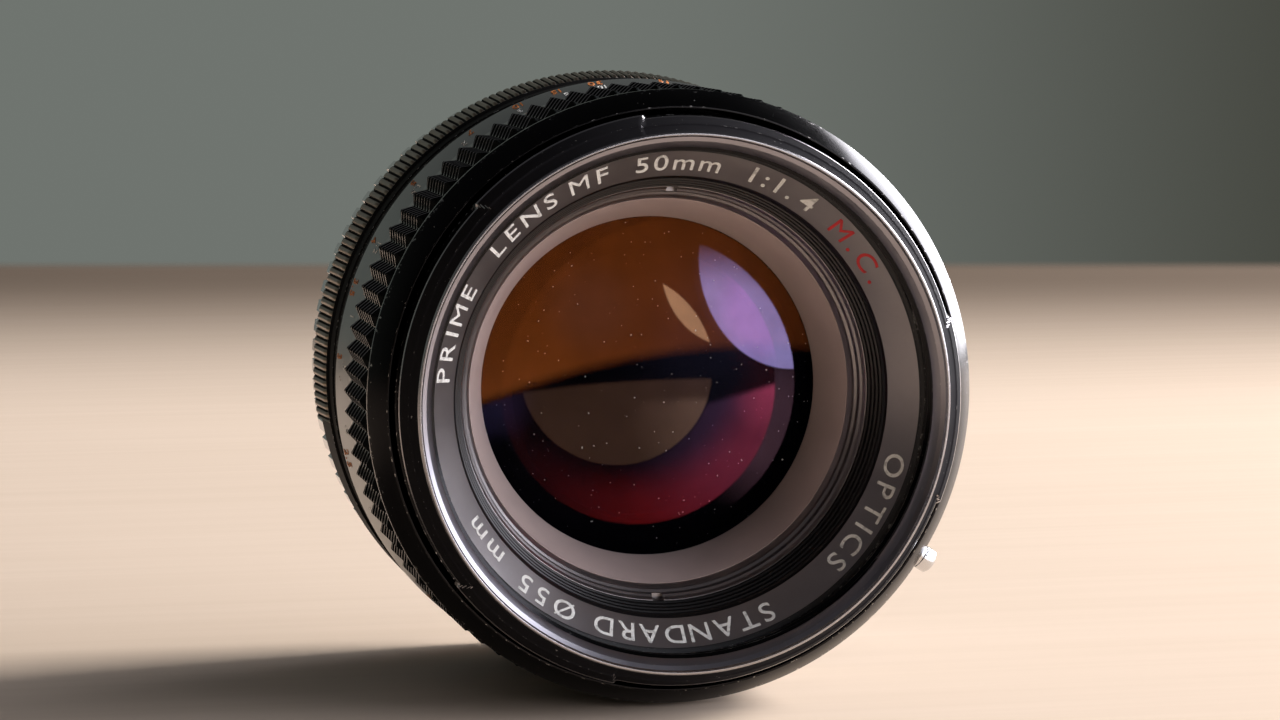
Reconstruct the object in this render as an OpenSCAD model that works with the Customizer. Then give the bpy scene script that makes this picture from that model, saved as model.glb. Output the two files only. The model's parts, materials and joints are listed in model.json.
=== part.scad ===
// A 50 mm prime lens with a breech-lock mount, as an assembly of separate pieces.
// The optical axis is Y: the front faces -Y, +Z is up, and the origin is the centre of
// the mount's bearing face. Inside the modules a height is a distance forward from that
// face, and an angle is seen from the front, from +X up towards +Z.

/* [Overall] */
// Bearing face to the front rim
front_z = 49; // [48.9:0.1:49.4]
// Radius of the fixed barrel tube that every ring rides on
barrel_r = 29; // [28.9:0.05:29.1]

/* [Front rim] */
// Wall radius of the filter thread
thread_r = 27.09; // [27.05:0.01:27.2]
// Depth of the filter thread
thread_depth = 3.9; // [3.5:0.1:3.9]
// Radius of the narrow bright crest
crest_r = 28.6; // [28.4:0.1:28.8]
// Radius of the rim between the hood lugs
rim_r = 30.3; // [30.1:0.1:30.3]
// Radius over the three hood lugs
lug_r = 30.7; // [30.5:0.1:30.8]
// Width of one hood lug, in degrees
lug_width = 40; // [34:1:44]
// Direction of the first hood lug
lug_angle = 117; // [110:1:124]
// Radius of the sliding front barrel
slide_r = 30.4; // [30.2:0.1:30.5]

/* [Focus ring] */
// Radius of the polished ground of the grip
grip_r = 32.5; // [32.4:0.05:32.75]
// Radius over the tips of the grip's ridges
ridge_r = 33.25; // [33.1:0.05:33.4]
// Radius of the scale band at its rear edge
band_r = 33.4; // [33.2:0.05:33.5]
// Number of ridges round the grip
ridge_count = 90; // [60:1:100]
// Turn from infinity to the nearest distance, in degrees
focus_turn = 200; // [150:5:220]
// Direction of the flash coupling pin
flash_pin_angle = 327; // [310:1:340]
// Radius of the flash coupling pin
flash_pin_r = 1.35; // [1:0.05:1.4]

/* [Fixed rings] */
// Radius of the depth-of-field ring
scale_r = 32.8; // [32.6:0.05:33]
// Radius of the mount's register in the camera's throat
register_r = 24; // [23.9:0.05:24.1]

/* [Aperture ring] */
// Radius of the ring's smooth part
aperture_r = 33.2; // [33:0.05:33.3]
// Radius over the raised knurl at its rear end
knurl_r = 33.95; // [33.8:0.05:34]
// Radius over the raised knurl at its front end
knurl_front_r = 33.45; // [33.3:0.05:33.6]
// Teeth that a full circle of knurl would have
knurl_count = 236; // [160:4:260]
// Turn from the widest to the smallest opening, in degrees
aperture_turn = 77; // [60:1:80]

/* [Breech ring] */
// Radius over the ribs of the breech ring
breech_r = 33; // [32.8:0.05:33.1]
// Number of ribs round the breech ring
breech_ribs = 90; // [60:2:110]

/* [Diaphragm] */
// Radius of the circle of blade pivots
pivot_circle = 17.3; // [17.2:0.05:17.4]
// Turn of each blade from open to closed, in degrees
blade_turn = 37.4; // [36:0.2:37.6]
// Turn of the stop-down lever, in degrees
lever_turn = 16; // [15:0.5:17]

/* [Fits] */
// Radial gap where one piece turns or slides on another
run_gap = 0.05; // [0.03:0.01:0.08]
// Gap where two fixed pieces seat on each other
seat_gap = 0.02; // [0.01:0.01:0.03]

/* [Hidden] */
$fn = 96;
tiny = 0.01;

// Levels along the axis, forward from the bearing face.
mount_plate_top = 2.3;
bulkhead_z = 2.4;
bulkhead_top = 3.8;
signal_ring_z = 4.2;
signal_ring_top = 8.6;
retainer_z = 9.3;
barrel_step_z = 11.9;
scale_z = 15.9;
barrel_top = 20.8;
focus_rear_z = 21;
flange_z = 21.2;
flange_top = 23.2;
shoulder_top = 24.6;
web_z = 27;
web_top = 29.6;
grip_rear_z = 24.8;
grip_front_z = 41.2;
ridge_chamfer = 0.6;
cone_edge_z = 41.75;
edge_r = 32.95;
cone_front_z = 44.15;
thread_floor_z = front_z - thread_depth;
// Groove at the bottom of the filter thread.
relief_z = thread_floor_z + 0.6;
relief_r = 27.5;

// Radii of the nested tubes.
rear_bore_r = 28.2;
sleeve_bore_r = 27;
sleeve_r = sleeve_bore_r - run_gap;
helicoid_r = 24;
block_bore_r = 20.65;
focus_bore_r = 31;
key_low_r = 21.6;
key_high_r = 23.8;
key_width = 4;

// Inner radius of the breech ring's claws, and the bearing face that lies clear inside them.
claw_r = 27.3;
bearing_r = claw_r - 0.25;

// Where the screws and pins of the rear plates sit.
mount_screw_r = 25.5;
mount_screw_angles = [20, 110, 270];
signal_pin_r = 20.6;
signal_pin_angles = [75, 195, 255];
key_screw_r = 22.7;

// Height of the flash coupling pin.
flash_pin_z = 39.7;

// The lock button of the aperture ring.
lock_angle = 335;
lock_z = 10.2;

// The click stop's pocket.
click_angle = 250;
click_z = 14.25;

// The aperture ring's band of numbers and its knurl.
number_z = 12.9;
number_r = 32.9;
aperture_top = 15.7;
knurl_start = -9;
knurl_end = 189;

// The screw that joins the aperture ring to its signal ring.
drive_screw_angle = 262;

// The diaphragm's own levels and sizes.
blade_count = 8;
blade_top_z = 14.38;
blade_pitch = 0.16;
blade_thickness = 0.12;
blade_inner_r = 12.6;
blade_outer_r = 15.8;
blade_start = -6;
blade_end = 108;
pin_r = 0.4;
pin_arm = 3;
pin_rest_angle = -90 - blade_turn / 2;
drive_ring_z = 11.9;
drive_ring_top = 12.95;
drive_ring_r = 19.7;
housing_z = 14.45;
housing_top = 15.35;
cover_z = 10.85;
slot_half = pin_r + 0.09;
slot_over = 0.11;
slot_steps = 10;

// The stop-down lever and the arm that it turns.
arm_angle = 275;
arm_half = 3;
arm_low_r = 16;
arm_high_r = 17.8;
fork_half = 8;
window_margin = 1.5;

// The signal lever of the aperture ring.
signal_angle = 150;
signal_half = 3.5;
signal_low_r = 25.4;
signal_high_r = 26.9;

// ---- Helpers ----

// Turns a piece modelled upright so that its height runs along the optical axis.
module on_axis() {
    rotate([90, 0, 0]) children();
}

// A turned piece from its half section: points are [radius, height].
module lathe(section) {
    rotate_extrude() polygon(section);
}

module tube(inner, outer, low, high) {
    rotate_extrude() translate([inner, low]) square([outer - inner, high - low]);
}

// Part of a tube, from one angle to another.
module sector(inner, outer, low, high, start, end) {
    rotate([0, 0, start])
        rotate_extrude(angle = end - start)
            translate([inner, low]) square([outer - inner, high - low]);
}

// Copies a child round the axis at each of the given angles.
module at_angles(angles) {
    for (a = angles) rotate([0, 0, a]) children();
}

function evenly(count, first = 0) = [for (i = [0 : count - 1]) first + i * 360 / count];

// A rod along the axis, at a radius and an angle.
module rod(r, place_r, angle, low, high) {
    rotate([0, 0, angle]) translate([place_r, 0, low]) cylinder(r = r, h = high - low);
}

// A rod pointing outwards, from one radius to another, at a height and an angle.
module spoke(r, from_r, to_r, angle, height) {
    rotate([0, 0, angle]) translate([from_r, 0, height])
        rotate([0, 90, 0]) cylinder(r = r, h = to_r - from_r);
}

// Outline with pointed teeth.
function teeth(count, tip, root) =
    [for (i = [0 : 2 * count - 1]) (i % 2 == 0 ? tip : root) * [cos(180 * i / count), sin(180 * i / count)]];

// Cheese-head screw pointing backwards, with its head's underside at head_z.
module axial_screw(place_r, angle, head_z, depth, shank, head, head_h) {
    rotate([0, 0, angle]) translate([place_r, 0, 0]) difference() {
        union() {
            translate([0, 0, head_z - depth]) cylinder(r = shank, h = depth);
            translate([0, 0, head_z]) cylinder(r = head, h = head_h);
        }
        translate([-head, -head * 0.12, head_z + head_h * 0.5]) cube([2 * head, head * 0.24, head_h]);
    }
}

// ---- Glass ----

// What lies behind a front surface, or in front of a back surface. A positive radius
// has its centre behind the surface's middle.
module behind_surface(middle_z, radius, reach) {
    if (radius > 0) {
        translate([0, 0, middle_z - radius]) sphere(r = radius);
    } else {
        difference() {
            translate([0, 0, middle_z - reach]) cylinder(r = reach, h = 2 * reach);
            translate([0, 0, middle_z - radius]) sphere(r = -radius);
        }
    }
}

module before_surface(middle_z, radius, reach) {
    if (radius < 0) {
        translate([0, 0, middle_z - radius]) sphere(r = -radius);
    } else {
        difference() {
            translate([0, 0, middle_z - reach]) cylinder(r = reach, h = 2 * reach);
            translate([0, 0, middle_z - radius]) sphere(r = radius);
        }
    }
}

module element(semi, low, high, front_middle, front_radius, back_middle, back_radius) {
    $fn = 288;
    color([0.55, 0.45, 0.75, 0.45]) on_axis() intersection() {
        translate([0, 0, low]) cylinder(r = semi, h = high - low);
        behind_surface(front_middle, front_radius, 30);
        before_surface(back_middle, back_radius, 30);
    }
}

module glass_1() element(18.9, 28.4, 34.9, 34.6, 37.3, 29.6, 150);
module glass_2() element(15.5, 20.68, 29.8, 29.5, 21.5, 24.2, 36);
module glass_3() element(14.5, 16, 23.5, 23.2, 48, 21.7, 14.9);
module glass_4() element(11.5, 5.9, 12.5, 8.5, -15.7, 7.1, 60);
module glass_5() element(11.5, 0.6, 7.4, 7.09, 60, 0.9, -26);
module glass_6() element(12, -3, 1.4, 0.75, -120, -2.65, -35);
module glass_7() element(12, -6, -2.5, -2.8, 90, -5.7, -110);

// ---- Fixed barrel ----

module main_barrel() {
    color([0.10, 0.10, 0.11]) on_axis() difference() {
        lathe([
            [rear_bore_r, 0], [barrel_r, 0], [barrel_r, 2.35], [30.4, 2.35], [30.4, 3.45],
            [barrel_r, 3.45], [barrel_r, barrel_top], [sleeve_bore_r, barrel_top],
            [sleeve_bore_r, barrel_step_z], [rear_bore_r, barrel_step_z]
        ]);
        // The aperture ring's screw passes through this slot.
        sector(27.5, barrel_r + 1, 5.6, 7.2, drive_screw_angle - 4, drive_screw_angle + aperture_turn + 4);
        // Pocket of the click ball.
        spoke(0.85, 27.6, barrel_r + 1, click_angle, click_z);
    }
}

module scale_ring() {
    color([0.07, 0.07, 0.08]) on_axis() lathe([
        [barrel_r + seat_gap, scale_z], [scale_r - 0.2, scale_z], [scale_r, scale_z + 0.2],
        [scale_r, barrel_top - 0.25], [scale_r - 0.25, barrel_top],
        [barrel_r + seat_gap, barrel_top]
    ]);
}

module bulkhead_plate() {
    color([0.55, 0.55, 0.57]) on_axis() difference() {
        tube(block_bore_r + 0.15, rear_bore_r - seat_gap, bulkhead_z, bulkhead_top);
        signal_slot(bulkhead_z, bulkhead_top);
        at_angles(mount_screw_angles) translate([mount_screw_r, 0, bulkhead_z - 1])
            cylinder(r = 0.72, h = 4);
        at_angles([0, 180]) translate([key_screw_r, 0, bulkhead_z - 1]) cylinder(r = 0.57, h = 4);
        at_angles([0, 180]) translate([key_screw_r, 0, bulkhead_z - 1]) cylinder(r = 1.05, h = 1.65);
    }
}

// Arc slot that lets the aperture ring's signal lever out to the camera.
module signal_slot(low, high) {
    sector(signal_low_r - 0.3, signal_high_r + 0.3, low - 1, high + 1,
           signal_angle - signal_half - window_margin,
           signal_angle + signal_half + aperture_turn + window_margin);
}

module guide_keys() {
    color([0.78, 0.62, 0.30]) on_axis() at_angles([0, 180]) difference() {
        translate([key_low_r, -key_width / 2, bulkhead_top])
            cube([key_high_r - key_low_r, key_width, 13.2]);
        translate([key_screw_r, 0, bulkhead_top - 1]) cylinder(r = 0.57, h = 4);
    }
}

// Screws that hold the two straight guide keys, put in from behind the bulkhead.
module key_screws() {
    color([0.75, 0.75, 0.77]) on_axis() at_angles([0, 180]) translate([key_screw_r, 0, bulkhead_z + 0.05]) {
        cylinder(r = 0.55, h = 4.1);
        cylinder(r = 1, h = 0.55);
    }
}

module mount_plate() {
    color([0.72, 0.72, 0.74]) on_axis() difference() {
        union() {
            lathe([
                [14.95, 0], [bearing_r, 0], [bearing_r, 0.3], [rear_bore_r - seat_gap, 0.3],
                [rear_bore_r - seat_gap, mount_plate_top], [14.95, mount_plate_top]
            ]);
            tube(22.8, register_r, -1.6, tiny);
        }
        signal_slot(0, mount_plate_top);
        sector(arm_low_r - 0.3, arm_high_r + 0.3, -1, mount_plate_top + 1,
               arm_angle - fork_half - window_margin,
               arm_angle + fork_half + lever_turn + window_margin);
        at_angles(mount_screw_angles) {
            translate([mount_screw_r, 0, -3]) cylinder(r = 0.72, h = 8);
            translate([mount_screw_r, 0, -3]) cylinder(r = 1.35, h = 4.1);
        }
        at_angles(signal_pin_angles) translate([signal_pin_r, 0, -3]) cylinder(r = 0.82, h = 8);
    }
}

module mount_screws() {
    color([0.80, 0.80, 0.82]) on_axis() at_angles(mount_screw_angles)
        translate([mount_screw_r, 0, 0]) difference() {
        union() {
            cylinder(r = 0.7, h = bulkhead_top - 0.1);
            translate([0, 0, 0.1]) cylinder(r = 1.3, h = 0.95);
        }
        translate([-0.9, -0.16, 0]) cube([1.8, 0.32, 0.6]);
        translate([-0.16, -0.9, 0]) cube([0.32, 1.8, 0.6]);
    }
}

// Fixed pins that tell the camera the widest opening.
module signal_pins() {
    color([0.82, 0.82, 0.84]) on_axis() at_angles(signal_pin_angles) translate([signal_pin_r, 0, 0]) {
        translate([0, 0, -2.2]) cylinder(r = 0.8, h = mount_plate_top + 2.2);
        translate([0, 0, -2.5]) cylinder(r1 = 0.5, r2 = 0.8, h = 0.3);
    }
}

module rear_tube() {
    color([0.06, 0.06, 0.065]) on_axis() lathe([
        [13.7, -6.8], [14.6, -6.8], [14.9, -6.5], [14.9, 4.4], [13.7, 4.4]
    ]);
}

module lever_retainer() {
    color([0.78, 0.62, 0.30]) on_axis() tube(14.9 + seat_gap, 15.8, 3.78, 4.38);
}

module click_ball() {
    color([0.85, 0.85, 0.87]) on_axis() rotate([0, 0, click_angle])
        translate([29.1, 0, click_z]) sphere(r = 0.75);
}

// The coil under the click ball, as the sleeve it fills when pressed shut.
module click_spring() {
    color([0.78, 0.70, 0.45]) on_axis() difference() {
        spoke(0.7, 27.65, 28.33, click_angle, click_z);
        spoke(0.4, 27, 29, click_angle, click_z);
    }
}

module focus_stop_pin() {
    color([0.80, 0.80, 0.82]) on_axis() rod(0.6, 29.85, 260, barrel_top + tiny, 22.2);
}

// ---- Focus ring ----

module focus_ring() {
    color([0.08, 0.08, 0.085]) on_axis() difference() {
        union() {
            lathe([
                [26.6, flange_top + seat_gap], [30.95, flange_top + seat_gap], [30.95, focus_rear_z],
                [band_r - 0.15, focus_rear_z], [band_r, focus_rear_z + 0.15],
                [grip_r, grip_rear_z], [grip_r, cone_edge_z - 0.35], [edge_r, cone_edge_z - 0.15],
                [edge_r, cone_edge_z], [focus_bore_r + 0.25, cone_front_z],
                [focus_bore_r, cone_front_z], [focus_bore_r, shoulder_top], [26.6, shoulder_top]
            ]);
            intersection() {
                translate([0, 0, grip_rear_z])
                    linear_extrude(grip_front_z - grip_rear_z)
                        polygon(teeth(ridge_count, ridge_r, grip_r - 0.05));
                lathe([
                    [grip_r - 0.3, grip_rear_z], [grip_r - 0.05, grip_rear_z],
                    [ridge_r + 0.01, grip_rear_z + ridge_chamfer],
                    [ridge_r + 0.01, grip_front_z - ridge_chamfer],
                    [grip_r - 0.05, grip_front_z], [grip_r - 0.3, grip_front_z]
                ]);
            }
        }
        at_angles(evenly(4, 45)) translate([27.9, 0, focus_rear_z]) cylinder(r = 0.72, h = 8);
        spoke(flash_pin_r + seat_gap, 31.4, 35, flash_pin_angle, flash_pin_z);
    }
}

module helicoid_sleeve() {
    color([0.70, 0.70, 0.72]) on_axis() difference() {
        lathe([
            [helicoid_r + run_gap, retainer_z], [sleeve_r, retainer_z], [sleeve_r, flange_z],
            [30.9, flange_z], [30.9, flange_top], [helicoid_r + run_gap, flange_top]
        ]);
        // Groove that the fixed stop pin runs in.
        sector(29.1, 30.6, flange_z - 1, flange_z + 1.2, 260 - 2, 260 + focus_turn + 2);
        at_angles(evenly(4, 45)) translate([27.9, 0, flange_z + 0.7]) cylinder(r = 0.72, h = 8);
    }
}

module focus_retainer() {
    color([0.70, 0.70, 0.72]) on_axis() difference() {
        tube(sleeve_r + seat_gap, rear_bore_r - 0.1, retainer_z, barrel_step_z - run_gap);
        at_angles(evenly(4)) translate([27.3, -0.6, retainer_z - 1]) cube([2, 1.2, 1.8]);
    }
}

module focus_ring_screws() {
    color([0.75, 0.75, 0.77]) on_axis() at_angles(evenly(4, 45))
        axial_screw(27.9, 0, shoulder_top + tiny, 2.6, 0.68, 1.1, 0.6);
}

module flash_pin() {
    color([0.85, 0.85, 0.87]) on_axis() rotate([0, 0, flash_pin_angle])
        translate([31.4 + tiny, 0, flash_pin_z]) rotate([0, 90, 0]) union() {
            cylinder(r = flash_pin_r, h = 3.3);
            translate([0, 0, 3.3]) cylinder(r1 = flash_pin_r, r2 = flash_pin_r - 0.3, h = 0.3);
        }
}

// ---- Moving lens block ----

module front_barrel() {
    color([0.07, 0.07, 0.075]) on_axis() difference() {
        union() {
            lathe([
                [block_bore_r, web_z], [slide_r, web_z], [slide_r, 44.1], [29.7, 44.3],
                [29.7, 45.2], [rim_r, 45.5], [rim_r, 46], [29.6, 47.6], [crest_r + 0.1, 48.75],
                [crest_r, front_z], [crest_r - 0.3, front_z], [27.6, 48.5], [thread_r, 48],
                [thread_r, relief_z], [relief_r, relief_z], [relief_r, thread_floor_z],
                [27.05, thread_floor_z], [27.05, 41.4],
                [25.1, 41.4], [25.1, web_top], [block_bore_r, web_top]
            ]);
            at_angles(evenly(3, lug_angle - lug_width / 2)) rotate_extrude(angle = lug_width)
                polygon([
                    [29, 44.7], [lug_r - 0.1, 44.7], [lug_r, 45], [lug_r, 45.9],
                    [lug_r - 0.3, 46.4], [29, 47.9]
                ]);
        }
        at_angles(evenly(3, 15)) {
            translate([22.4, 0, web_z - 1]) cylinder(r = 0.72, h = 5);
            translate([22.4, 0, 28.4]) cylinder(r = 1.25, h = 3);
        }
        // Slot of the hood's catch in the first lug.
        spoke(0.55, 29.6, 32, lug_angle + 122, 45.3);
    }
}

module block_barrel() {
    color([0.70, 0.70, 0.72]) on_axis() difference() {
        lathe([
            [15.1, 8.4], [block_bore_r, 8.4], [block_bore_r, bulkhead_top + 0.2],
            [helicoid_r, bulkhead_top + 0.2], [helicoid_r, web_z - seat_gap],
            [block_bore_r, web_z - seat_gap], [block_bore_r, cover_z - seat_gap],
            [15.1, cover_z - seat_gap]
        ]);
        at_angles([0, 180])
            translate([key_low_r - run_gap, -key_width / 2 - run_gap, 0])
                cube([4, key_width + 2 * run_gap, 22]);
        arm_window(8, 12);
        at_angles(evenly(3, 15)) translate([22.4, 0, 24.5]) cylinder(r = 0.72, h = 5);
    }
}

// Arc window for the diaphragm's arm and the fork beside it.
module arm_window(low, high) {
    sector(arm_low_r - 0.4, arm_high_r + 0.4, low, high,
           arm_angle - fork_half - window_margin,
           arm_angle + fork_half + lever_turn + window_margin);
}

module barrel_screws() {
    color([0.75, 0.75, 0.77]) on_axis() at_angles(evenly(3, 15))
        axial_screw(22.4, 0, 28.4 + tiny, 3.8, 0.68, 1.15, 0.7);
}

module name_ring() {
    color([0.10, 0.10, 0.10]) on_axis() lathe([
        [26.95, 45.05], [23.75, 41.75], [23.3, 40.6], [22.9, 40.4], [22.4, 38.2],
        [25, 38.2], [25, 41.45], [27, 41.45], [27, 45.05]
    ]);
}

// Ring that clamps the front cell; it has notches for a pin spanner.
module retaining_ring() {
    color([0.09, 0.09, 0.09]) on_axis() difference() {
        lathe([
            [21.05, 31.65], [24.9, 31.65], [24.9, 38.1], [22.3, 38.1], [21.4, 35.8],
            [21.05, 35.3]
        ]);
        at_angles([88, 268]) translate([20.9, -0.6, 36.6]) cube([2.2, 1.2, 3]);
    }
}

module inner_cone() {
    color([0.42, 0.38, 0.37]) on_axis() lathe([
        [18.62, 29.65], [19.9, 29.65], [19.9, 31.62], [21, 31.62], [21, 35.3]
    ]);
}

module front_cell() {
    color([0.12, 0.12, 0.12]) on_axis() lathe([
        [11.9, 15.45], [20.6, 15.45], [20.6, web_top + seat_gap], [24.9, web_top + seat_gap],
        [24.9, 31.6], [19.95, 31.6], [19.95, 29.6], [18.95, 29.6], [18.95, 28.35], [17.55, 28.35],
        [17.55, 23.45], [15.55, 23.45], [15.55, 20.64], [14.55, 20.64], [14.55, 15.98],
        [11.9, 15.98]
    ]);
}

module spacer_1_2() {
    color([0.10, 0.10, 0.10]) on_axis() tube(15.05, 17.5, 23.5, 28.3);
}

module rear_cell() {
    color([0.12, 0.12, 0.12]) on_axis() lathe([
        [12.05, -6.2], [13.3, -6.2], [13.3, 7.2], [15.05, 7.2], [15.05, 10.8], [13.3, 10.8],
        [13.3, 12.85], [10.6, 12.85], [10.6, 12.52], [11.55, 12.52], [11.55, 3.4], [12.05, 3.4]
    ]);
}

module spacer_5_6() {
    color([0.10, 0.10, 0.10]) on_axis() tube(11.05, 12, 1.45, 3.3);
}

module spacer_6_7() {
    color([0.10, 0.10, 0.10]) on_axis() tube(11.2, 12, -3.42, -0.86);
}

module rear_retainer() {
    color([0.10, 0.10, 0.10]) on_axis() difference() {
        lathe([[11.1, -6.15], [12.03, -6.15], [12.03, -5.25], [10.8, -5.25]]);
        at_angles([90, 270]) translate([10.5, -0.5, -7]) cube([2.2, 1, 1.4]);
    }
}

module diaphragm_housing() {
    color([0.20, 0.20, 0.21]) on_axis() difference() {
        union() {
            tube(12.9, 20.6, housing_z, housing_top);
            tube(drive_ring_r + 0.1, 20.6, 11.85, housing_z + tiny);
        }
        at_angles(evenly(blade_count)) translate([pivot_circle, 0, housing_z - 1])
            cylinder(r = pin_r + run_gap, h = 1.75);
    }
}

module diaphragm_cover() {
    color([0.20, 0.20, 0.21]) on_axis() difference() {
        tube(13.6, 20.6, cover_z, 11.8);
        arm_window(10, 12.5);
    }
}

// ---- Diaphragm blades and their drive ring ----

// Where a blade's drive pin lies, seen from the drive ring, at a share of the stroke.
function pin_place(share) =
    let (
        x = pivot_circle + pin_arm * cos(pin_rest_angle + blade_turn * share),
        y = pin_arm * sin(pin_rest_angle + blade_turn * share),
        back = -lever_turn * share
    )
    [x * cos(back) - y * sin(back), x * sin(back) + y * cos(back)];

// One side of the cam slot: the pin's path moved sideways by half the slot's width.
function slot_side(side, steps) = [for (i = steps)
    let (
        share = -slot_over + i * (1 + 2 * slot_over) / slot_steps,
        ahead = pin_place(share + 0.01) - pin_place(share - 0.01),
        across = [-ahead.y, ahead.x] / norm(ahead)
    )
    pin_place(share) + side * slot_half * across];

module blade_drive_ring() {
    color([0.78, 0.62, 0.30]) on_axis() union() {
        translate([0, 0, drive_ring_z]) linear_extrude(drive_ring_top - drive_ring_z) difference() {
            circle(r = drive_ring_r + run_gap);
            circle(r = 13.4);
            for (a = evenly(blade_count)) rotate(a)
                polygon(concat(
                    slot_side(1, [0 : 1 : slot_steps]),
                    slot_side(-1, [slot_steps : -1 : 0])
                ));
        }
        // Arm that reaches back to the stop-down lever's fork.
        sector(arm_low_r + 0.1, arm_high_r - 0.1, 4.2, drive_ring_z + 0.4,
               arm_angle - arm_half, arm_angle + arm_half);
    }
}

// The outline of a blade: a curved leaf, with an ear for its two pins.
module blade_outline() {
    drive = pin_place(0);
    intersection() {
        difference() {
            circle(r = blade_outer_r);
            circle(r = blade_inner_r);
        }
        polygon(concat([[0, 0]], [for (a = [blade_start : 19 : blade_end]) 20 * [cos(a), sin(a)]]));
    }
    polygon([
        [15, -1.1], [pivot_circle, -0.8], [pivot_circle, 0.8], [15, 0.9]
    ]);
    translate([pivot_circle, 0]) circle(r = 0.85);
    translate(drive) circle(r = 0.85);
    translate([pivot_circle, 0]) rotate(atan2(drive.y, drive.x - pivot_circle))
        translate([0, -0.7]) square([pin_arm, 1.4]);
}

// One thin blade in its own layer, with a pivot pin in front and a drive pin behind.
module blade(number) {
    layer_z = blade_top_z - blade_thickness - blade_pitch * (number - 1);
    middle_z = layer_z + blade_thickness / 2;
    drive = pin_place(0);
    color([0.16, 0.16, 0.18]) on_axis() rotate([0, 0, 45 * (number - 1)]) union() {
        translate([0, 0, layer_z]) linear_extrude(blade_thickness) blade_outline();
        translate([pivot_circle, 0, middle_z]) cylinder(r = pin_r, h = 15.1 - middle_z);
        translate([drive.x, drive.y, 12.05]) cylinder(r = pin_r, h = middle_z - 12.05);
    }
}

module blade_1() blade(1);
module blade_2() blade(2);
module blade_3() blade(3);
module blade_4() blade(4);
module blade_5() blade(5);
module blade_6() blade(6);
module blade_7() blade(7);
module blade_8() blade(8);

module stop_down_lever() {
    color([0.75, 0.75, 0.77]) on_axis() union() {
        tube(14.9 + run_gap, 16.3, 2.5, 3.7);
        difference() {
            sector(15.7, arm_high_r, 2.6, 10.6, arm_angle - fork_half, arm_angle + fork_half);
            sector(15.5, arm_high_r + 1, 3.6, 11, arm_angle - arm_half - 0.2, arm_angle + arm_half + 0.2);
            sector(15.5, arm_low_r, 3.6, 11, arm_angle - 20, arm_angle + 20);
        }
        // Finger that the camera pushes.
        sector(arm_low_r, arm_high_r - 0.2, -4.6, 3.2, arm_angle - 3, arm_angle + 3);
    }
}

// ---- Aperture ring ----

module aperture_ring() {
    color([0.07, 0.07, 0.075]) on_axis() difference() {
        union() {
            lathe([
                [barrel_r + run_gap, 5], [aperture_r - 0.4, 5], [aperture_r, 5.4],
                [aperture_r, number_z - 0.3], [number_r, number_z], [number_r, aperture_top - 0.2],
                [number_r - 0.2, aperture_top], [barrel_r + run_gap, aperture_top],
                [barrel_r + run_gap, 15.1], [30.1, 15.1], [30.1, 13.4], [barrel_r + run_gap, 13.4],
                [barrel_r + run_gap, 12.8], [31.4, 12.8], [31.4, 7.6], [barrel_r + run_gap, 7.6]
            ]);
            intersection() {
                linear_extrude(number_z + 1)
                    polygon(teeth(knurl_count, knurl_r + 0.1, aperture_r - 0.4));
                rotate([0, 0, knurl_start]) rotate_extrude(angle = knurl_end - knurl_start) polygon([
                    [32, 5.7], [knurl_r - 0.6, 5.7], [knurl_r, 6.3],
                    [knurl_front_r, number_z - 0.9], [knurl_front_r - 0.6, number_z - 0.4],
                    [32, number_z - 0.4]
                ]);
            }
        }
        // Detents for the click ball, half a stop apart.
        at_angles([for (i = [0 : 14]) click_angle - i * aperture_turn / 14])
            translate([30, 0, 13.5]) cylinder(r = 0.5, h = 1.5);
        spoke(1.76, 28, 36, lock_angle, lock_z);
        spoke(0.62, 28, 36, drive_screw_angle, 6.4);
    }
}

// Inner ring that carries the lever which tells the camera the chosen opening.
module aperture_signal_ring() {
    color([0.78, 0.62, 0.30]) on_axis() difference() {
        union() {
            tube(signal_low_r, rear_bore_r - run_gap, signal_ring_z, signal_ring_top);
            sector(signal_low_r + 0.15, signal_high_r, -3.6, signal_ring_z + 0.8,
                   signal_angle - signal_half, signal_angle + signal_half);
        }
        spoke(0.62, 26.4, 30, drive_screw_angle, 6.4);
    }
}

module aperture_drive_screw() {
    color([0.75, 0.75, 0.77]) on_axis() spoke(0.6, 26.5, 32.9, drive_screw_angle, 6.4);
}

module lock_button() {
    color([0.82, 0.82, 0.84]) on_axis() rotate([0, 0, lock_angle]) translate([30.8, 0, lock_z])
        rotate([0, 90, 0]) union() {
            cylinder(r = 2.3, h = 0.5);
            cylinder(r = 1.7, h = 3.1);
            translate([0, 0, 3.1]) cylinder(r1 = 1.7, r2 = 1.4, h = 0.3);
        }
}

// ---- Breech ring ----

module breech_ring() {
    color([0.78, 0.78, 0.80]) on_axis() difference() {
        union() {
            lathe([
                [barrel_r + run_gap, -2.2], [32.1, -2.2], [32.5, -1.8], [32.5, 4.5], [32.2, 4.8],
                [30.5, 4.8], [30.5, 2.3], [barrel_r + run_gap, 2.3]
            ]);
            intersection() {
                translate([0, 0, -1.4]) linear_extrude(5.4)
                    polygon(teeth(breech_ribs, breech_r, breech_r - 0.6));
                lathe([
                    [31.5, -1.4], [breech_r - 0.6, -1.4], [breech_r, -0.9], [breech_r, 3.5],
                    [breech_r - 0.6, 4], [31.5, 4]
                ]);
            }
            // Claws that hook behind the camera's three lugs.
            at_angles(evenly(3, 70)) sector(claw_r, barrel_r + 0.4, -2.2, -1.2, 0, 40);
        }
        spoke(1.02, 31.4, 36, 90, 1.3);
    }
}

module breech_retainer() {
    color([0.78, 0.62, 0.30]) on_axis() tube(barrel_r + run_gap, 30.5 - seat_gap, 3.5, 4.75);
}

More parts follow.
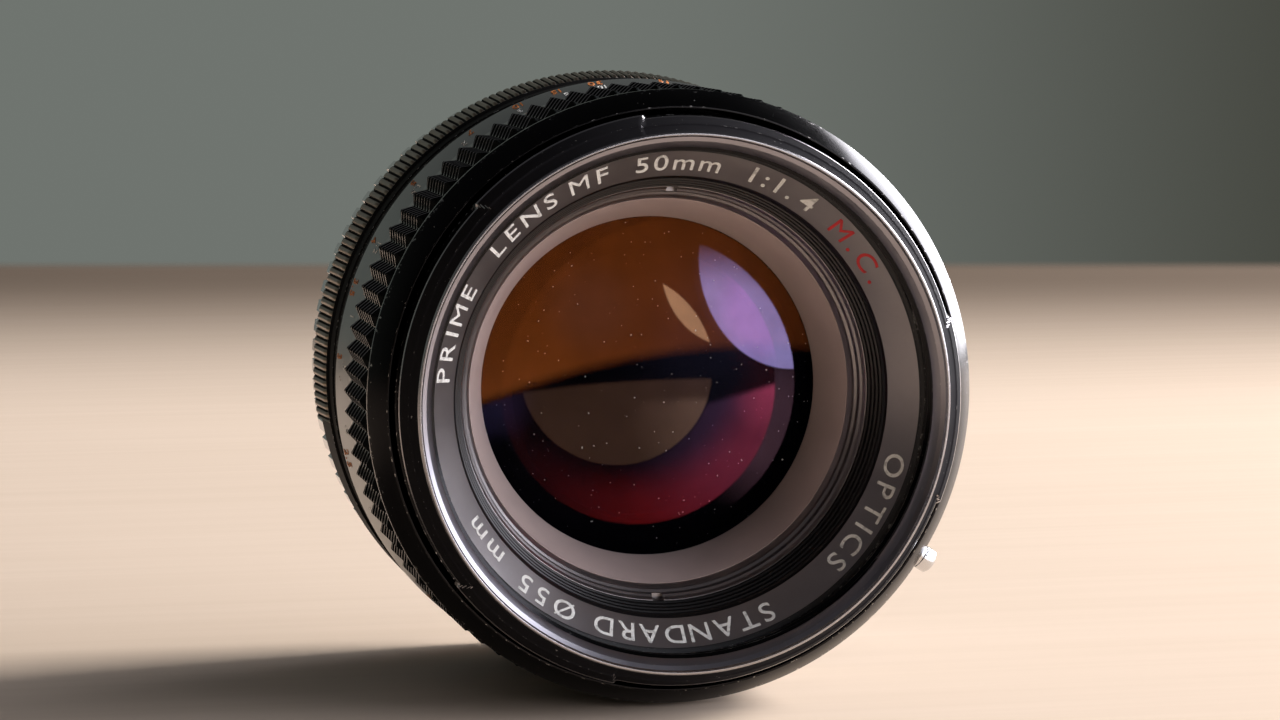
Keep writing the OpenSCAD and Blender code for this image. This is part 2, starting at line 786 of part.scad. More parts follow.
// Red bead that shows how the lens goes on the camera.
module mount_dot() {
    color([0.75, 0.08, 0.06]) on_axis() rotate([0, 0, 90]) translate([31.4 + tiny, 0, 1.3])
        rotate([0, 90, 0]) union() {
            cylinder(r = 1, h = 1.5);
            translate([0, 0, 1.5]) cylinder(r1 = 1, r2 = 0.5, h = 0.35);
        }
}

main_barrel();
scale_ring();
bulkhead_plate();
guide_keys();
key_screws();
mount_plate();
mount_screws();
signal_pins();
rear_tube();
lever_retainer();
click_ball();
click_spring();
focus_stop_pin();
focus_ring();
helicoid_sleeve();
focus_retainer();
focus_ring_screws();
flash_pin();
front_barrel();
block_barrel();
barrel_screws();
name_ring();
retaining_ring();
inner_cone();
front_cell();
spacer_1_2();
glass_1();
glass_2();
glass_3();
rear_cell();
glass_4();
glass_5();
spacer_5_6();
glass_6();
spacer_6_7();
glass_7();
rear_retainer();
diaphragm_housing();
diaphragm_cover();
blade_drive_ring();
blade_1();
blade_2();
blade_3();
blade_4();
blade_5();
blade_6();
blade_7();
blade_8();
stop_down_lever();
aperture_ring();
aperture_signal_ring();
aperture_drive_screw();
lock_button();
breech_ring();
breech_retainer();
mount_dot();
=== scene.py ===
"""Looks of the 50 mm prime lens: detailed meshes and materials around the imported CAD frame.

Turned pieces are drawn as half sections, with a point's radius and its height (the distance
forward from the mount's bearing face) in millimetres. The optical axis is Y, the front faces
-Y, and an angle is seen from the front, from +X up towards +Z.
"""

import json
import math

import bpy
import numpy as np
from mathutils import Matrix, Vector

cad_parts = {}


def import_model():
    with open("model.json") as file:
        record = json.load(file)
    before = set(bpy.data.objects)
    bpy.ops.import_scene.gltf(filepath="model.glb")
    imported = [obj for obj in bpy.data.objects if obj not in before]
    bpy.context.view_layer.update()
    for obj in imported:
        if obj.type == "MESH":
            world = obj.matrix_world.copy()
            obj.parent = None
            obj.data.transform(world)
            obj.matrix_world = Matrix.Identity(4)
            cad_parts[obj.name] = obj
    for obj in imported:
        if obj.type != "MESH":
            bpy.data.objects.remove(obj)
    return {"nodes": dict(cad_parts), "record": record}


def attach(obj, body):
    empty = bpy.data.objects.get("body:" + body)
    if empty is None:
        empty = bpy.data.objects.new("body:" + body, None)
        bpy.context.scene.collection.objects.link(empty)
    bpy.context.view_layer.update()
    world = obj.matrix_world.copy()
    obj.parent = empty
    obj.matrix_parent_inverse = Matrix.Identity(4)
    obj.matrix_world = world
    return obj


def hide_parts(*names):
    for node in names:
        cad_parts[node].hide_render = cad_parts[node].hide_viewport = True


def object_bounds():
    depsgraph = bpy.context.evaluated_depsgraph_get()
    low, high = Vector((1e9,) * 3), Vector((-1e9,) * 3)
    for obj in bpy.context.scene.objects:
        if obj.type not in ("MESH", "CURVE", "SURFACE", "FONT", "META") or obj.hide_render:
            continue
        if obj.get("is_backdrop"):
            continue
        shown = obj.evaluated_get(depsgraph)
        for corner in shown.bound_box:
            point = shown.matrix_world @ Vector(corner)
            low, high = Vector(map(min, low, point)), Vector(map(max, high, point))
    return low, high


MM = 0.001

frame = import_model()
cad_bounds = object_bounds()


# ---- Node helpers ----


def socket(group, key):
    return group[key] if isinstance(key, int) else group[key.replace("_", " ")]


def add(tree, kind, props=None, out=0, **inputs):
    """A node with the given properties and inputs; returns one of its outputs."""
    n = tree.nodes.new("ShaderNode" + kind)
    for k, v in (props or {}).items():
        setattr(n, k, v)
    for k, v in inputs.items():
        key = int(k[1:]) if k[0] == "i" and k[1:].isdigit() else k
        s = socket(n.inputs, key)
        if isinstance(v, bpy.types.NodeSocket):
            tree.links.new(v, s)
        else:
            s.default_value = v
    return n.outputs[out]


def maths(tree, op, a, b=0.0, clamp=False):
    return add(tree, "Math", {"operation": op, "use_clamp": clamp}, i0=a, i1=b)


def vmath(tree, op, a, b=(0, 0, 0), out=0):
    return add(tree, "VectorMath", {"operation": op}, out=out, i0=a, i1=b)


def scaled(tree, vector, factor):
    return add(tree, "VectorMath", {"operation": "SCALE"}, i0=vector, i3=factor)


def step(tree, value, low, high):
    """0 below low and 1 above high, smooth between them; low may be the larger."""
    return add(
        tree, "MapRange", {"interpolation_type": "SMOOTHSTEP"},
        Value=value, From_Min=low, From_Max=high,
    )


def mix(tree, fac, a, b):
    n = tree.nodes.new("ShaderNodeMix")
    n.data_type = "RGBA"
    for s, v in ((n.inputs[0], fac), (n.inputs[6], a), (n.inputs[7], b)):
        if isinstance(v, bpy.types.NodeSocket):
            tree.links.new(v, s)
        elif s.type == "RGBA":
            s.default_value = (*v, 1.0)
        else:
            s.default_value = v
    return n.outputs[2]


def new_material(name):
    mat = bpy.data.materials.new(name)
    mat.use_nodes = True
    mat.node_tree.nodes.clear()
    return mat, mat.node_tree


def finish_material(tree, shader):
    out = tree.nodes.new("ShaderNodeOutputMaterial")
    tree.links.new(shader, out.inputs["Surface"])


def noise(tree, vector, scale, detail, rough):
    return add(tree, "TexNoise", Vector=vector, Scale=scale, Detail=detail, Roughness=rough)


def coordinates(tree):
    """Object coordinates in millimetres, the turned ones (radius and Y), and x, y and z."""
    place = vmath(tree, "MULTIPLY", add(tree, "TexCoord", out=3), (1 / MM, 1 / MM, 1 / MM))
    n = tree.nodes.new("ShaderNodeSeparateXYZ")
    tree.links.new(place, n.inputs[0])
    flat = add(tree, "CombineXYZ", X=n.outputs[0], Z=n.outputs[2])
    radius = vmath(tree, "LENGTH", flat, out=1)
    turned = add(tree, "CombineXYZ", X=radius, Y=n.outputs[1])
    return place, turned, n.outputs


DUST_COLOR = (0.62, 0.60, 0.57)
METAL_RELIEF, PAINT_RELIEF = 0.06 * MM, 0.05 * MM


def metal(
    name, color, rough, metallic=1.0, worn=(0.62, 0.60, 0.58), wear=1.0, dust=0.5,
    turning=0.25, grain=0.1, patina=0.25, scratches=0.5, turn_scale=5.0, specular=0.5,
):
    """Turned metal: fine tool marks round the axis, grain, worn edges, dust and scratches."""
    mat, t = new_material(name)
    place, turned, _ = coordinates(t)
    rings = noise(t, turned, turn_scale, 4.0, 0.7)
    fine = noise(t, place, 9.0, 2.0, 0.6)
    cloud = noise(t, place, 0.22, 4.0, 0.6)
    chips = noise(t, place, 1.7, 5.0, 0.65)
    edge = add(t, "Attribute", {"attribute_name": "wear"}, out=2)
    chipped = maths(t, "ADD", maths(t, "MULTIPLY", edge, 0.5), maths(t, "MULTIPLY", chips, 0.9))
    worn_mask = maths(t, "MULTIPLY", step(t, chipped, 1.0, 1.06), wear, True)
    worn_mask = maths(t, "MULTIPLY", worn_mask, step(t, edge, 0.2, 0.7), True)
    spots = noise(t, place, 3.1, 1.0, 0.4)
    dust_mask = maths(t, "MULTIPLY", step(t, spots, 0.775, 0.83), dust, True)
    stretch = vmath(t, "MULTIPLY", place, (0.35, 3.6, 0.9))
    lines = step(t, noise(t, stretch, 1.0, 2.0, 0.5), 0.735, 0.765)
    scratch_mask = maths(t, "MULTIPLY", lines, scratches, True)
    scratch_mask = maths(t, "MULTIPLY", scratch_mask, step(t, cloud, 0.5, 0.62), True)
    shade = maths(t, "ADD", 1.0 - patina * 0.5, maths(t, "MULTIPLY", cloud, patina))
    base = scaled(t, color, shade)
    base = mix(t, worn_mask, base, worn)
    base = mix(t, scratch_mask, base, tuple(0.5 * c + 0.5 * w for c, w in zip(color, worn)))
    base = mix(t, dust_mask, base, DUST_COLOR)
    roughness = maths(t, "ADD", rough - 0.06, maths(t, "MULTIPLY", cloud, 0.12))
    roughness = maths(t, "ADD", roughness, maths(t, "MULTIPLY", dust_mask, 0.5))
    height = maths(
        t, "ADD", maths(t, "MULTIPLY", rings, turning), maths(t, "MULTIPLY", fine, grain)
    )
    height = maths(t, "SUBTRACT", height, maths(t, "MULTIPLY", worn_mask, 0.3))
    height = maths(t, "ADD", height, maths(t, "MULTIPLY", dust_mask, 1.0))
    normal = add(t, "Bump", Strength=0.25, Distance=METAL_RELIEF, Height=height)
    bright = maths(t, "MAXIMUM", worn_mask, metallic)
    bright = maths(t, "MULTIPLY", bright, maths(t, "SUBTRACT", 1.0, dust_mask))
    shader = add(
        t, "BsdfPrincipled", Base_Color=base, Metallic=bright, Roughness=roughness,
        Normal=normal, Specular_IOR_Level=specular,
    )
    finish_material(t, shader)
    return mat


def paint(name, color, rough=0.55):
    """Paint filled into engraving: uneven cover and a slight grain."""
    mat, t = new_material(name)
    place, _, _ = coordinates(t)
    cloud = noise(t, place, 1.3, 4.0, 0.6)
    fine = noise(t, place, 12.0, 2.0, 0.6)
    dark = tuple(c * 0.62 for c in color)
    base = mix(t, step(t, cloud, 0.32, 0.52), dark, color)
    normal = add(t, "Bump", Strength=0.35, Distance=PAINT_RELIEF, Height=fine)
    finish_material(
        t, add(t, "BsdfPrincipled", Base_Color=base, Roughness=rough, Normal=normal)
    )
    return mat


METALS = {
    "black_gloss": dict(
        color=(0.015, 0.0145, 0.015), rough=0.2, dust=0.3, scratches=0.3, wear=0.7, turning=0.15,
        grain=0.05,
    ),
    "grip_black": dict(
        color=(0.010, 0.011, 0.011), rough=0.45, metallic=0.0, turning=0.05, wear=0.1, dust=0.2,
        worn=(0.20, 0.19, 0.18), specular=0.0,
    ),
    # The grooves across the grip's ridges: a pale metal for painted highlight lines on the black
    # grip.
    "grip_groove_highlight": dict(color=(0.42, 0.41, 0.40), rough=0.3, turning=0.05, wear=0.3, dust=0.1),
    "grip_ground": dict(color=(0.34, 0.34, 0.34), rough=0.3, turning=0.4, wear=0.4, dust=0.2),
    "black_band": dict(
        color=(0.010, 0.0095, 0.0095), rough=0.5, metallic=0.0, turning=0.3, wear=0.6, dust=0.15,
        scratches=0.2, specular=0.015,
    ),
    "rim_land": dict(
        color=(0.013, 0.0125, 0.014), rough=0.55, metallic=0.0, turning=0.3, grain=0.9, wear=0.2,
        dust=0.4, specular=0.01,
    ),
    "rim_chamfer": dict(color=(0.30, 0.285, 0.31), rough=0.32, turning=0.3, wear=0.3, dust=0.3),
    "knurl_black": dict(
        color=(0.21, 0.16, 0.115), rough=0.34, turning=0.05, wear=0.1, dust=0.1,
        worn=(0.20, 0.19, 0.18),
    ),
    "black_satin": dict(
        color=(0.36, 0.33, 0.33), rough=0.36, metallic=0.97, turning=0.3, wear=0.35, specular=0.3,
        dust=0.2, scratches=0.2, turn_scale=7.0,
    ),
    "black_comb": dict(
        color=(0.04, 0.038, 0.038), rough=0.4, metallic=0.9, turning=0.5, wear=0.2, dust=0.2,
        scratches=0.1,
    ),
    "black_matt": dict(
        color=(0.020, 0.020, 0.021), rough=0.6, metallic=0.2, turning=0.5, wear=0.5, dust=0.15,
        scratches=0.1,
    ),
    "baffle_grey": dict(
        color=(0.51, 0.40, 0.375), rough=0.48, metallic=0.12, turning=0.12, wear=0.0, dust=0.15,
        scratches=0.0,
    ),
    "bare_alloy": dict(color=(0.62, 0.62, 0.64), rough=0.34, turning=0.6, wear=0.2, scratches=0.3),
    "brass": dict(color=(0.66, 0.47, 0.19), rough=0.33, turning=0.5, wear=0.2),
    "chrome": dict(color=(0.66, 0.66, 0.67), rough=0.22, turning=0.3, wear=0.2, dust=0.25),
    "steel": dict(color=(0.56, 0.56, 0.57), rough=0.27, turning=0.3, wear=0.3),
    "blade_steel": dict(
        color=(0.075, 0.075, 0.085), rough=0.38, turning=0.1, wear=0.3, patina=0.5
    ),
    # The rim's thin edges: a brighter metal for painted highlight lines, with worn chips.
    "rim_edge_highlight": dict(color=(0.36, 0.345, 0.355), rough=0.24, turning=0.3, wear=0.8, dust=0.3),
}
PAINTS = {
    "red_bead": dict(color=(0.62, 0.030, 0.022), rough=0.22),
    "white_fill": dict(color=(0.80, 0.785, 0.74)),
    "red_fill": dict(color=(0.58, 0.020, 0.022)),
    "orange_fill": dict(color=(0.62, 0.20, 0.045)),
}
MATERIALS = {name: metal(name, **look) for name, look in METALS.items()}
MATERIALS.update((name, paint(name, **look)) for name, look in PAINTS.items())


def coated_glass(name, layers, clear):
    """A lens element: a clear body under thin coatings, with painted reflections over it. Each layer
    is one painted reflection and stands for the mirror image given by one surface of the lens:
    its colour, curvature (one over a radius in millimetres), roughness and the circles that bound
    it."""
    mat, t = new_material(name)
    place, _, _ = coordinates(t)
    flat = vmath(t, "MULTIPLY", place, (1.0, 0.0, 1.0))
    shader = add(t, "BsdfTransparent", Color=(*clear, 1.0))
    cloud = noise(t, place, 0.35, 3.0, 0.5)
    patchy = maths(t, "ADD", 0.78, maths(t, "MULTIPLY", cloud, 0.44))
    for color, curvature, rough, circles in layers:
        tilt = scaled(t, flat, curvature)
        normal = vmath(t, "NORMALIZE", vmath(t, "ADD", tilt, (0.0, -1.0, 0.0)))
        normal = add(
            t, "VectorTransform",
            {"convert_from": "OBJECT", "convert_to": "WORLD", "vector_type": "NORMAL"},
            Vector=normal,
        )
        # The circles cut each layer to the painted outline of its reflection.
        mask = patchy
        for x, z, gone, full in circles:
            away = vmath(t, "DISTANCE", flat, (x, 0.0, z), out=1)
            mask = maths(t, "MULTIPLY", mask, step(t, away, gone, full))
        tint = scaled(t, color, mask)
        gloss = add(t, "BsdfAnisotropic", Color=tint, Roughness=rough, Normal=normal)
        shader = add(t, "AddShader", i0=shader, i1=gloss)
    dust = step(t, noise(t, place, 3.6, 0.0, 0.3), 0.845, 0.86)
    speck = add(t, "BsdfDiffuse", Color=(0.7, 0.7, 0.68, 1.0))
    shader = add(t, "MixShader", Fac=maths(t, "MULTIPLY", dust, 0.6), i1=shader, i2=speck)
    finish_material(t, shader)
    return mat


# Circles that bound the painted reflections on the front element: the x and z of a middle, the
# radius where a layer is gone and the radius where it is full. A PAST_ circle keeps what lies
# outside it.
PUPIL, INNER_PUPIL = (-0.3, 0.2, 16.6, 16.3), (-1.5, 0.2, 15.35, 15.0)
PAST_INNER_PUPIL = (-1.5, 0.2, 15.0, 15.35)
ABOVE_BAND, BELOW_BAND = (8.4, -60.5, 64.2, 66.0), (8.4, -60.5, 65.0, 64.2)
DISC, PAST_DISC = (-4.3, 2.3, 10.6, 10.25), (-4.3, 2.3, 10.1, 10.9)
BELOW_DISC_TOP, BELOW_STRIP = (2.0, -100.0, 101.5, 100.9), (2.0, -100.0, 99.6, 98.4)
BLUSH_TOP = (-60.0, 330.0, 337.5, 338.5)
PANE, PANE_FADE = (16.5, 13.0, 11.5, 11.2), (6.0, -4.0, 20.5, 14.0)
NEAR_BULGE, GENTLE_DISH, NEARLY_FLAT = -1 / 34.0, 1 / 98.0, 1 / 300.0
FRONT_LAYERS = [
    ((0.080, 0.0225, 0.0045), NEAR_BULGE, 0.09, [ABOVE_BAND, (-8.0, 3.0, 40.0, 12.0)]),
    ((0.004, 0.006, 0.009), NEAR_BULGE, 0.12, [ABOVE_BAND, (-7.0, 9.0, 6.5, 1.0)]),
    ((0.030, 0.018, 0.013), NEARLY_FLAT, 0.06, [BELOW_BAND, DISC, BELOW_DISC_TOP]),
    ((0.045, 0.034, 0.030), NEARLY_FLAT, 0.08, [BELOW_STRIP, DISC, (5.5, -3.5, 9.5, 0.5)]),
    ((0.019, 0.011, 0.032), NEARLY_FLAT, 0.05,
     [BELOW_BAND, INNER_PUPIL, PAST_DISC, BLUSH_TOP, (13.0, -3.0, 19.0, 5.0)]),
    ((0.120, 0.017, 0.046), NEARLY_FLAT, 0.05,
     [INNER_PUPIL, PAST_DISC, BLUSH_TOP, (14.2, 0.5, 7.0, 0.5)]),
    ((0.066, 0.002, 0.003), NEARLY_FLAT, 0.06,
     [INNER_PUPIL, (-3.0, 3.0, 10.6, 16.2), (8.0, -11.0, 24.0, 3.0), BLUSH_TOP]),
    ((0.008, 0.001, 0.0015), NEARLY_FLAT, 0.06, [INNER_PUPIL, BELOW_BAND, (-3.0, 3.0, 10.6, 16.2)]),
    ((0.034, 0.020, 0.034), NEARLY_FLAT, 0.05, [PUPIL, PAST_INNER_PUPIL, (14.0, -5.0, 11.0, 3.0)]),
    ((0.008, 0.008, 0.028), NEARLY_FLAT, 0.06, [BELOW_BAND, (-17.5, -1.5, 5.0, 1.0)]),
    ((0.057, 0.049, 0.108), GENTLE_DISH, 0.02, [PUPIL, PANE, PANE_FADE]),
    ((0.022, 0.001, 0.022), GENTLE_DISH, 0.03,
     [(-1.7, 0.1, 16.0, 15.7), PANE, (12.5, 8.5, 6.6, 3.0)]),
    ((0.072, 0.044, 0.024), GENTLE_DISH, 0.02, [(-4.3, 2.3, 10.7, 10.4), (8.8, 12.5, 8.1, 7.8)]),
    ((0.002, 0.002, 0.004), 1 / 60.0, 0.3, []),
]
MATERIALS["glass_front"] = coated_glass("glass_front", FRONT_LAYERS, (0.16, 0.14, 0.13))
MATERIALS["glass_rear"] = coated_glass(
    "glass_rear",
    [((0.05, 0.07, 0.13), 1 / 60.0, 0.04, []), ((0.13, 0.05, 0.10), -1 / 26.0, 0.06, [])],
    (0.55, 0.50, 0.46),
)
MATERIALS["coated_glass"] = coated_glass(
    "coated_glass", [((0.04, 0.025, 0.05), 1 / 40.0, 0.05, [])], (0.80, 0.76, 0.72)
)


# ---- Mesh helpers ----


def rounded(points, radius=0.1):
    """A closed half section with its corners rounded: returns arrays of radius, height and
    wear, which is 1 on the corners that stick out."""
    p = np.array([q[:2] for q in points], float)
    x, y = p[:, 0], p[:, 1]
    if np.sum(x * np.roll(y, -1) - np.roll(x, -1) * y) < 0:
        points, p = points[::-1], p[::-1]
    out = []
    n = len(p)
    for i in range(n):
        own = points[i][2] if len(points[i]) > 2 else radius
        a, b, c = p[i - 1], p[i], p[(i + 1) % n]
        ab, bc = b - a, c - b
        la, lc = np.hypot(*ab), np.hypot(*bc)
        ab, bc = ab / la, bc / lc
        turn = math.atan2(ab[0] * bc[1] - ab[1] * bc[0], float(ab @ bc))
        cut = min(own * math.tan(min(abs(turn), 2.8) / 2), 0.45 * la, 0.45 * lc)
        if own <= 0 or abs(turn) < 0.03 or cut < 1e-4:
            out.append((b[0], b[1], 0.0))
            continue
        steps = max(2, math.ceil(abs(turn) / 0.5))
        start, end = b - ab * cut, b + bc * cut
        wear = 1.0 if turn > 0 else 0.0
        out.append((start[0], start[1], 0.0))
        for k in range(steps + 1):
            s = k / steps
            q = (1 - s) ** 2 * start + 2 * s * (1 - s) * b + s * s * end
            out.append((q[0], q[1], wear))
        out.append((end[0], end[1], 0.0))
    kept = [out[0]]
    for q in out[1:]:
        if math.hypot(q[0] - kept[-1][0], q[1] - kept[-1][1]) > 1e-5:
            kept.append(q)
    arr = np.array(kept)
    return arr[:, 0], arr[:, 1], arr[:, 2]


def to_object(name, verts, faces, material, wear=None, sharp=38.0):
    mesh = bpy.data.meshes.new(name)
    mesh.from_pydata(verts.tolist(), [], faces)
    mesh.materials.append(MATERIALS[material])
    if wear is not None:
        mesh.attributes.new("wear", "FLOAT", "POINT").data.foreach_set(
            "value", wear.astype(np.float32)
        )
    mesh.shade_smooth()
    mesh.set_sharp_from_angle(angle=math.radians(sharp))
    mesh.validate()
    obj = bpy.data.objects.new(name, mesh)
    bpy.context.scene.collection.objects.link(obj)
    return obj


def place(obj, body, slot, *replaced):
    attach(obj, body)
    if replaced:
        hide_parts(*replaced)
    return obj


def grid_faces(columns, rows, wrap_columns=True, wrap_rows=True):
    i = np.arange(columns if wrap_columns else columns - 1)
    j = np.arange(rows if wrap_rows else rows - 1)
    i, j = np.meshgrid(i, j, indexing="ij")
    i2, j2 = (i + 1) % columns, (j + 1) % rows
    return np.stack(
        [i * rows + j, i2 * rows + j, i2 * rows + j2, i * rows + j2], -1
    ).reshape(-1, 4).tolist()


def world(r, angle, z):
    return np.stack([r * np.cos(angle), -z, r * np.sin(angle)], -1) * MM


def turned(name, section, material, angles=None, shape=None, radius=0.1, sharp=38.0):
    """A turned piece from its half section. shape(angle, r, z, wear) may change the arrays."""
    r, z, w = rounded(section, radius)
    a = np.radians(np.arange(360.0) if angles is None else angles)
    grid = [np.broadcast_to(v, (len(a), len(r))).copy() for v in (r, z, w)]
    angle = np.broadcast_to(a[:, None], grid[0].shape)
    if shape:
        grid = shape(angle, *grid)
    verts = world(grid[0], angle, grid[1]).reshape(-1, 3)
    faces = grid_faces(len(a), len(r))
    return to_object(name, verts, faces, material, grid[2].reshape(-1), sharp)


def paint_faces(obj, rules):
    """Gives faces another material where a rule of their middle's radius, height and angle
    holds."""
    mesh = obj.data
    count = len(mesh.polygons)
    mid = np.zeros(count * 3)
    mesh.polygons.foreach_get("center", mid)
    mid = mid.reshape(-1, 3) / MM
    r, z = np.hypot(mid[:, 0], mid[:, 2]), -mid[:, 1]
    angle = np.degrees(np.arctan2(mid[:, 2], mid[:, 0])) % 360
    index = np.zeros(count, np.int32)
    for material, rule in rules:
        mesh.materials.append(MATERIALS[material])
        index[rule(r, z, angle)] = len(mesh.materials) - 1
    mesh.polygons.foreach_set("material_index", index)


def nearest(value, period):
    """Distance to the nearest whole number of periods, from -0.5 to 0.5 of a period."""
    u = value / period
    return u - np.round(u)


def adaptive(period, samples, count):
    return np.concatenate([(k + np.array(samples)) * period for k in range(count)])


CAPITAL_SHARE, LETTER_GAP = 0.72, 0.16
LETTER_DEPTH, LETTER_LIFT = 0.02, 0.012


def glyphs(text, size, bold):
    """The vertices, in millimetres, and the faces of a piece of text."""
    curve = bpy.data.curves.new("line", "FONT")
    curve.body = text
    curve.size = size
    curve.offset = bold
    curve.resolution_u = 6
    curve.extrude = LETTER_DEPTH
    obj = bpy.data.objects.new("line", curve)
    bpy.context.scene.collection.objects.link(obj)
    bpy.context.view_layer.update()
    mesh = bpy.data.meshes.new_from_object(
        obj.evaluated_get(bpy.context.evaluated_depsgraph_get())
    )
    co = np.zeros(len(mesh.vertices) * 3)
    mesh.vertices.foreach_get("co", co)
    faces = [list(f.vertices) for f in mesh.polygons]
    bpy.data.objects.remove(obj)
    bpy.data.curves.remove(curve)
    bpy.data.meshes.remove(mesh)
    return co.reshape(-1, 3), faces


def lettering(name, lines, material, bend):
    """Lines of text bent onto a surface. A line is text, height of a capital, middle angle,
    the angle it spans (0 leaves it as set), base line and the boldness of its strokes.
    bend(x, y, depth, angle) gives world points, with x and y along and across the line."""
    verts, faces, count = [], [], 0
    for text, height, middle, span, base, bold in lines:
        size = height / CAPITAL_SHARE
        chars, widths = [], []
        for c in text:
            # The strokes of a bold M run into each other.
            co, fs = glyphs(c, size, 0.0 if c == "M" else bold)
            low, high = co[:, 0].min(), co[:, 0].max()
            co[:, 0] -= (low + high) / 2
            chars.append((co, fs))
            widths.append(high - low)
        gap = LETTER_GAP * size
        if span:
            gap = max(gap, (span - sum(widths)) / max(1, len(text) - 1))
        total = sum(widths) + gap * (len(text) - 1)
        x = -total / 2
        for (co, fs), width in zip(chars, widths):
            verts.append(bend(co[:, 0] + x + width / 2, co[:, 1] + base, co[:, 2], middle))
            faces += [[v + count for v in f] for f in fs]
            count += len(co)
            x += width + gap
    return to_object(name, np.concatenate(verts), faces, material, sharp=50.0)


def on_band(r_at):
    """Bends text round a turned band, with its tops to the front."""

    def bend(x, y, depth, middle):
        r = r_at(y)
        angle = math.radians(middle) + x / r
        return world(r + depth + LETTER_LIFT, angle, y)

    return bend


MARK_COLUMNS, MARK_ROWS = 5, 4
MARK_LIFT, MARK_DEPTH = 0.015, 0.03


def arc_patch(name, r_at, marks, material):
    """Short painted lines on a band. A mark is start angle, end angle, low and high."""
    last, side = MARK_ROWS - 1, MARK_COLUMNS * MARK_ROWS
    rim = [MARK_ROWS * k for k in range(MARK_COLUMNS)]
    rim += [side - MARK_ROWS + k for k in range(1, MARK_ROWS)]
    rim += [MARK_ROWS * k + last for k in range(MARK_COLUMNS - 2, -1, -1)]
    rim += list(range(last - 1, 0, -1))
    verts, faces = [], []
    for mark, (start, end, low, high) in enumerate(marks):
        a = np.radians(np.linspace(start, end, MARK_COLUMNS))
        z = np.linspace(low, high, MARK_ROWS)
        aa, zz = np.meshgrid(a, z, indexing="ij")
        base = 2 * side * mark
        for lifted in (MARK_LIFT, MARK_LIFT - MARK_DEPTH):
            verts.append(world(r_at(zz) + lifted, aa, zz).reshape(-1, 3))
        top = [
            [base + v for v in f] for f in grid_faces(MARK_COLUMNS, MARK_ROWS, False, False)
        ]
        faces += top
        faces += [[v + side for v in f[::-1]] for f in top]
        for p, q in zip(rim, rim[1:] + rim[:1]):
            faces.append([base + q, base + p, base + p + side, base + q + side])
    return to_object(name, np.concatenate(verts), faces, material)


def constant_radius(radius):
    return lambda z: np.full_like(np.asarray(z, float), radius)


# ---- Focus ring ----

GROUND_R, TIP_R, BAND_R = 32.45, 33.25, 33.4
BAND_LOW, BAND_HIGH = 21.0, 24.8
GRIP_LOW, GRIP_HIGH = 25.2, 40.75
FRONT_EDGE_R, FRONT_EDGE_Z = 32.95, 41.3
RIDGES = 90
RIDGE_PITCH = 360 / RIDGES
RIDGE_POINT, RIDGE_SLOPE = 2.0, 0.55
GROOVES = np.linspace(27.4, 37.6, 7)
GROOVE_HALF, GROOVE_DEPTH = 0.22, 0.30


def ridge_share(u):
    """1 on the middle of a ridge and 0 between two; u runs from -0.5 to 0.5 across it."""
    return np.clip(1 - np.abs(u) / 0.5, 0, 1)


def ridge_ends(u):
    """The rear and front ends of a ridge, which is pointed at both."""
    short = RIDGE_POINT * (1 - ridge_share(u))
    return GRIP_LOW + short, GRIP_HIGH - short


def ridge_height(u, z):
    """Height of a grip ridge over the ground."""
    h = (TIP_R - GROUND_R) * ridge_share(u)
    for g in GROOVES:
        h = h - GROOVE_DEPTH * np.clip(1 - np.abs(z - g) / GROOVE_HALF, 0, 1)
    low, high = ridge_ends(u)
    run_out = RIDGE_SLOPE * np.minimum(high - z, z - low)
    return np.clip(np.minimum(h, run_out), 0, None)


def shape_grip(angle, r, z, wear):
    u = nearest(np.degrees(angle), RIDGE_PITCH)
    zone = (r > GROUND_R - 0.2) & (z > GRIP_LOW - 0.01) & (z < GRIP_HIGH + 0.01)
    h = ridge_height(u, z)
    r = np.where(zone, np.maximum(r, GROUND_R + h), r)
    tip = h > 0.92 * (TIP_R - GROUND_R)
    return r, z, np.where(zone, np.where(tip, 1.0, 0.0), wear)


grip_rows = sorted(
    set(
        [round(v, 4) for g in GROOVES for v in (g - GROOVE_HALF, g, g + GROOVE_HALF)]
        + [round(v, 4) for v in np.linspace(GRIP_LOW, GRIP_LOW + 1.8, 8)]
        + [round(v, 4) for v in np.linspace(GRIP_HIGH - 3.0, GRIP_HIGH, 12)]
    )
)
focus_section = (
    [(26.6, 23.22), (30.95, 23.22), (30.95, BAND_LOW), (BAND_R - 0.02, BAND_LOW, 0.12)]
    + [(GROUND_R, BAND_HIGH, 0.2)]
    + [(np.interp(z, [38.4, 41.2], [GROUND_R, FRONT_EDGE_R - 0.02]), z, 0) for z in grip_rows]
    + [
        (FRONT_EDGE_R, FRONT_EDGE_Z, 0.03), (FRONT_EDGE_R, 41.75, 0.1), (31.25, 44.15, 0.12),
        (31.0, 44.15, 0.05), (31.0, 24.6), (26.6, 24.6),
    ]
)
# Where the ring is cut across a ridge, in shares of the ridges' pitch.
ridge_samples = [-0.5, -0.42, -0.32, -0.22, -0.12, -0.03, 0.03, 0.12, 0.22, 0.32, 0.42]
focus_ring = turned(
    "focus_ring_ribbed", focus_section, "black_gloss",
    angles=adaptive(RIDGE_PITCH, ridge_samples, RIDGES), shape=shape_grip, sharp=24.0,
)


def in_grip(r, z, angle):
    low, high = ridge_ends(nearest(angle, RIDGE_PITCH))
    return (r > 32) & (z > low) & (z < high)


# The grooves across the ridges, which take the pale metal of the painted highlight lines.
def in_groove(r, z, angle):
    away = np.min([np.abs(z - g) for g in GROOVES], axis=0)
    return in_grip(r, z, angle) & (away < GROOVE_HALF)


paint_faces(
    focus_ring,
    [
        ("grip_ground", lambda r, z, a: (z < FRONT_EDGE_Z) & (z > BAND_LOW + 0.2) & (r > 32)),
        ("grip_black", in_grip),
        ("grip_groove_highlight", in_groove),
    ],
)
place(focus_ring, "focus", "black_gloss", "focus_ring")


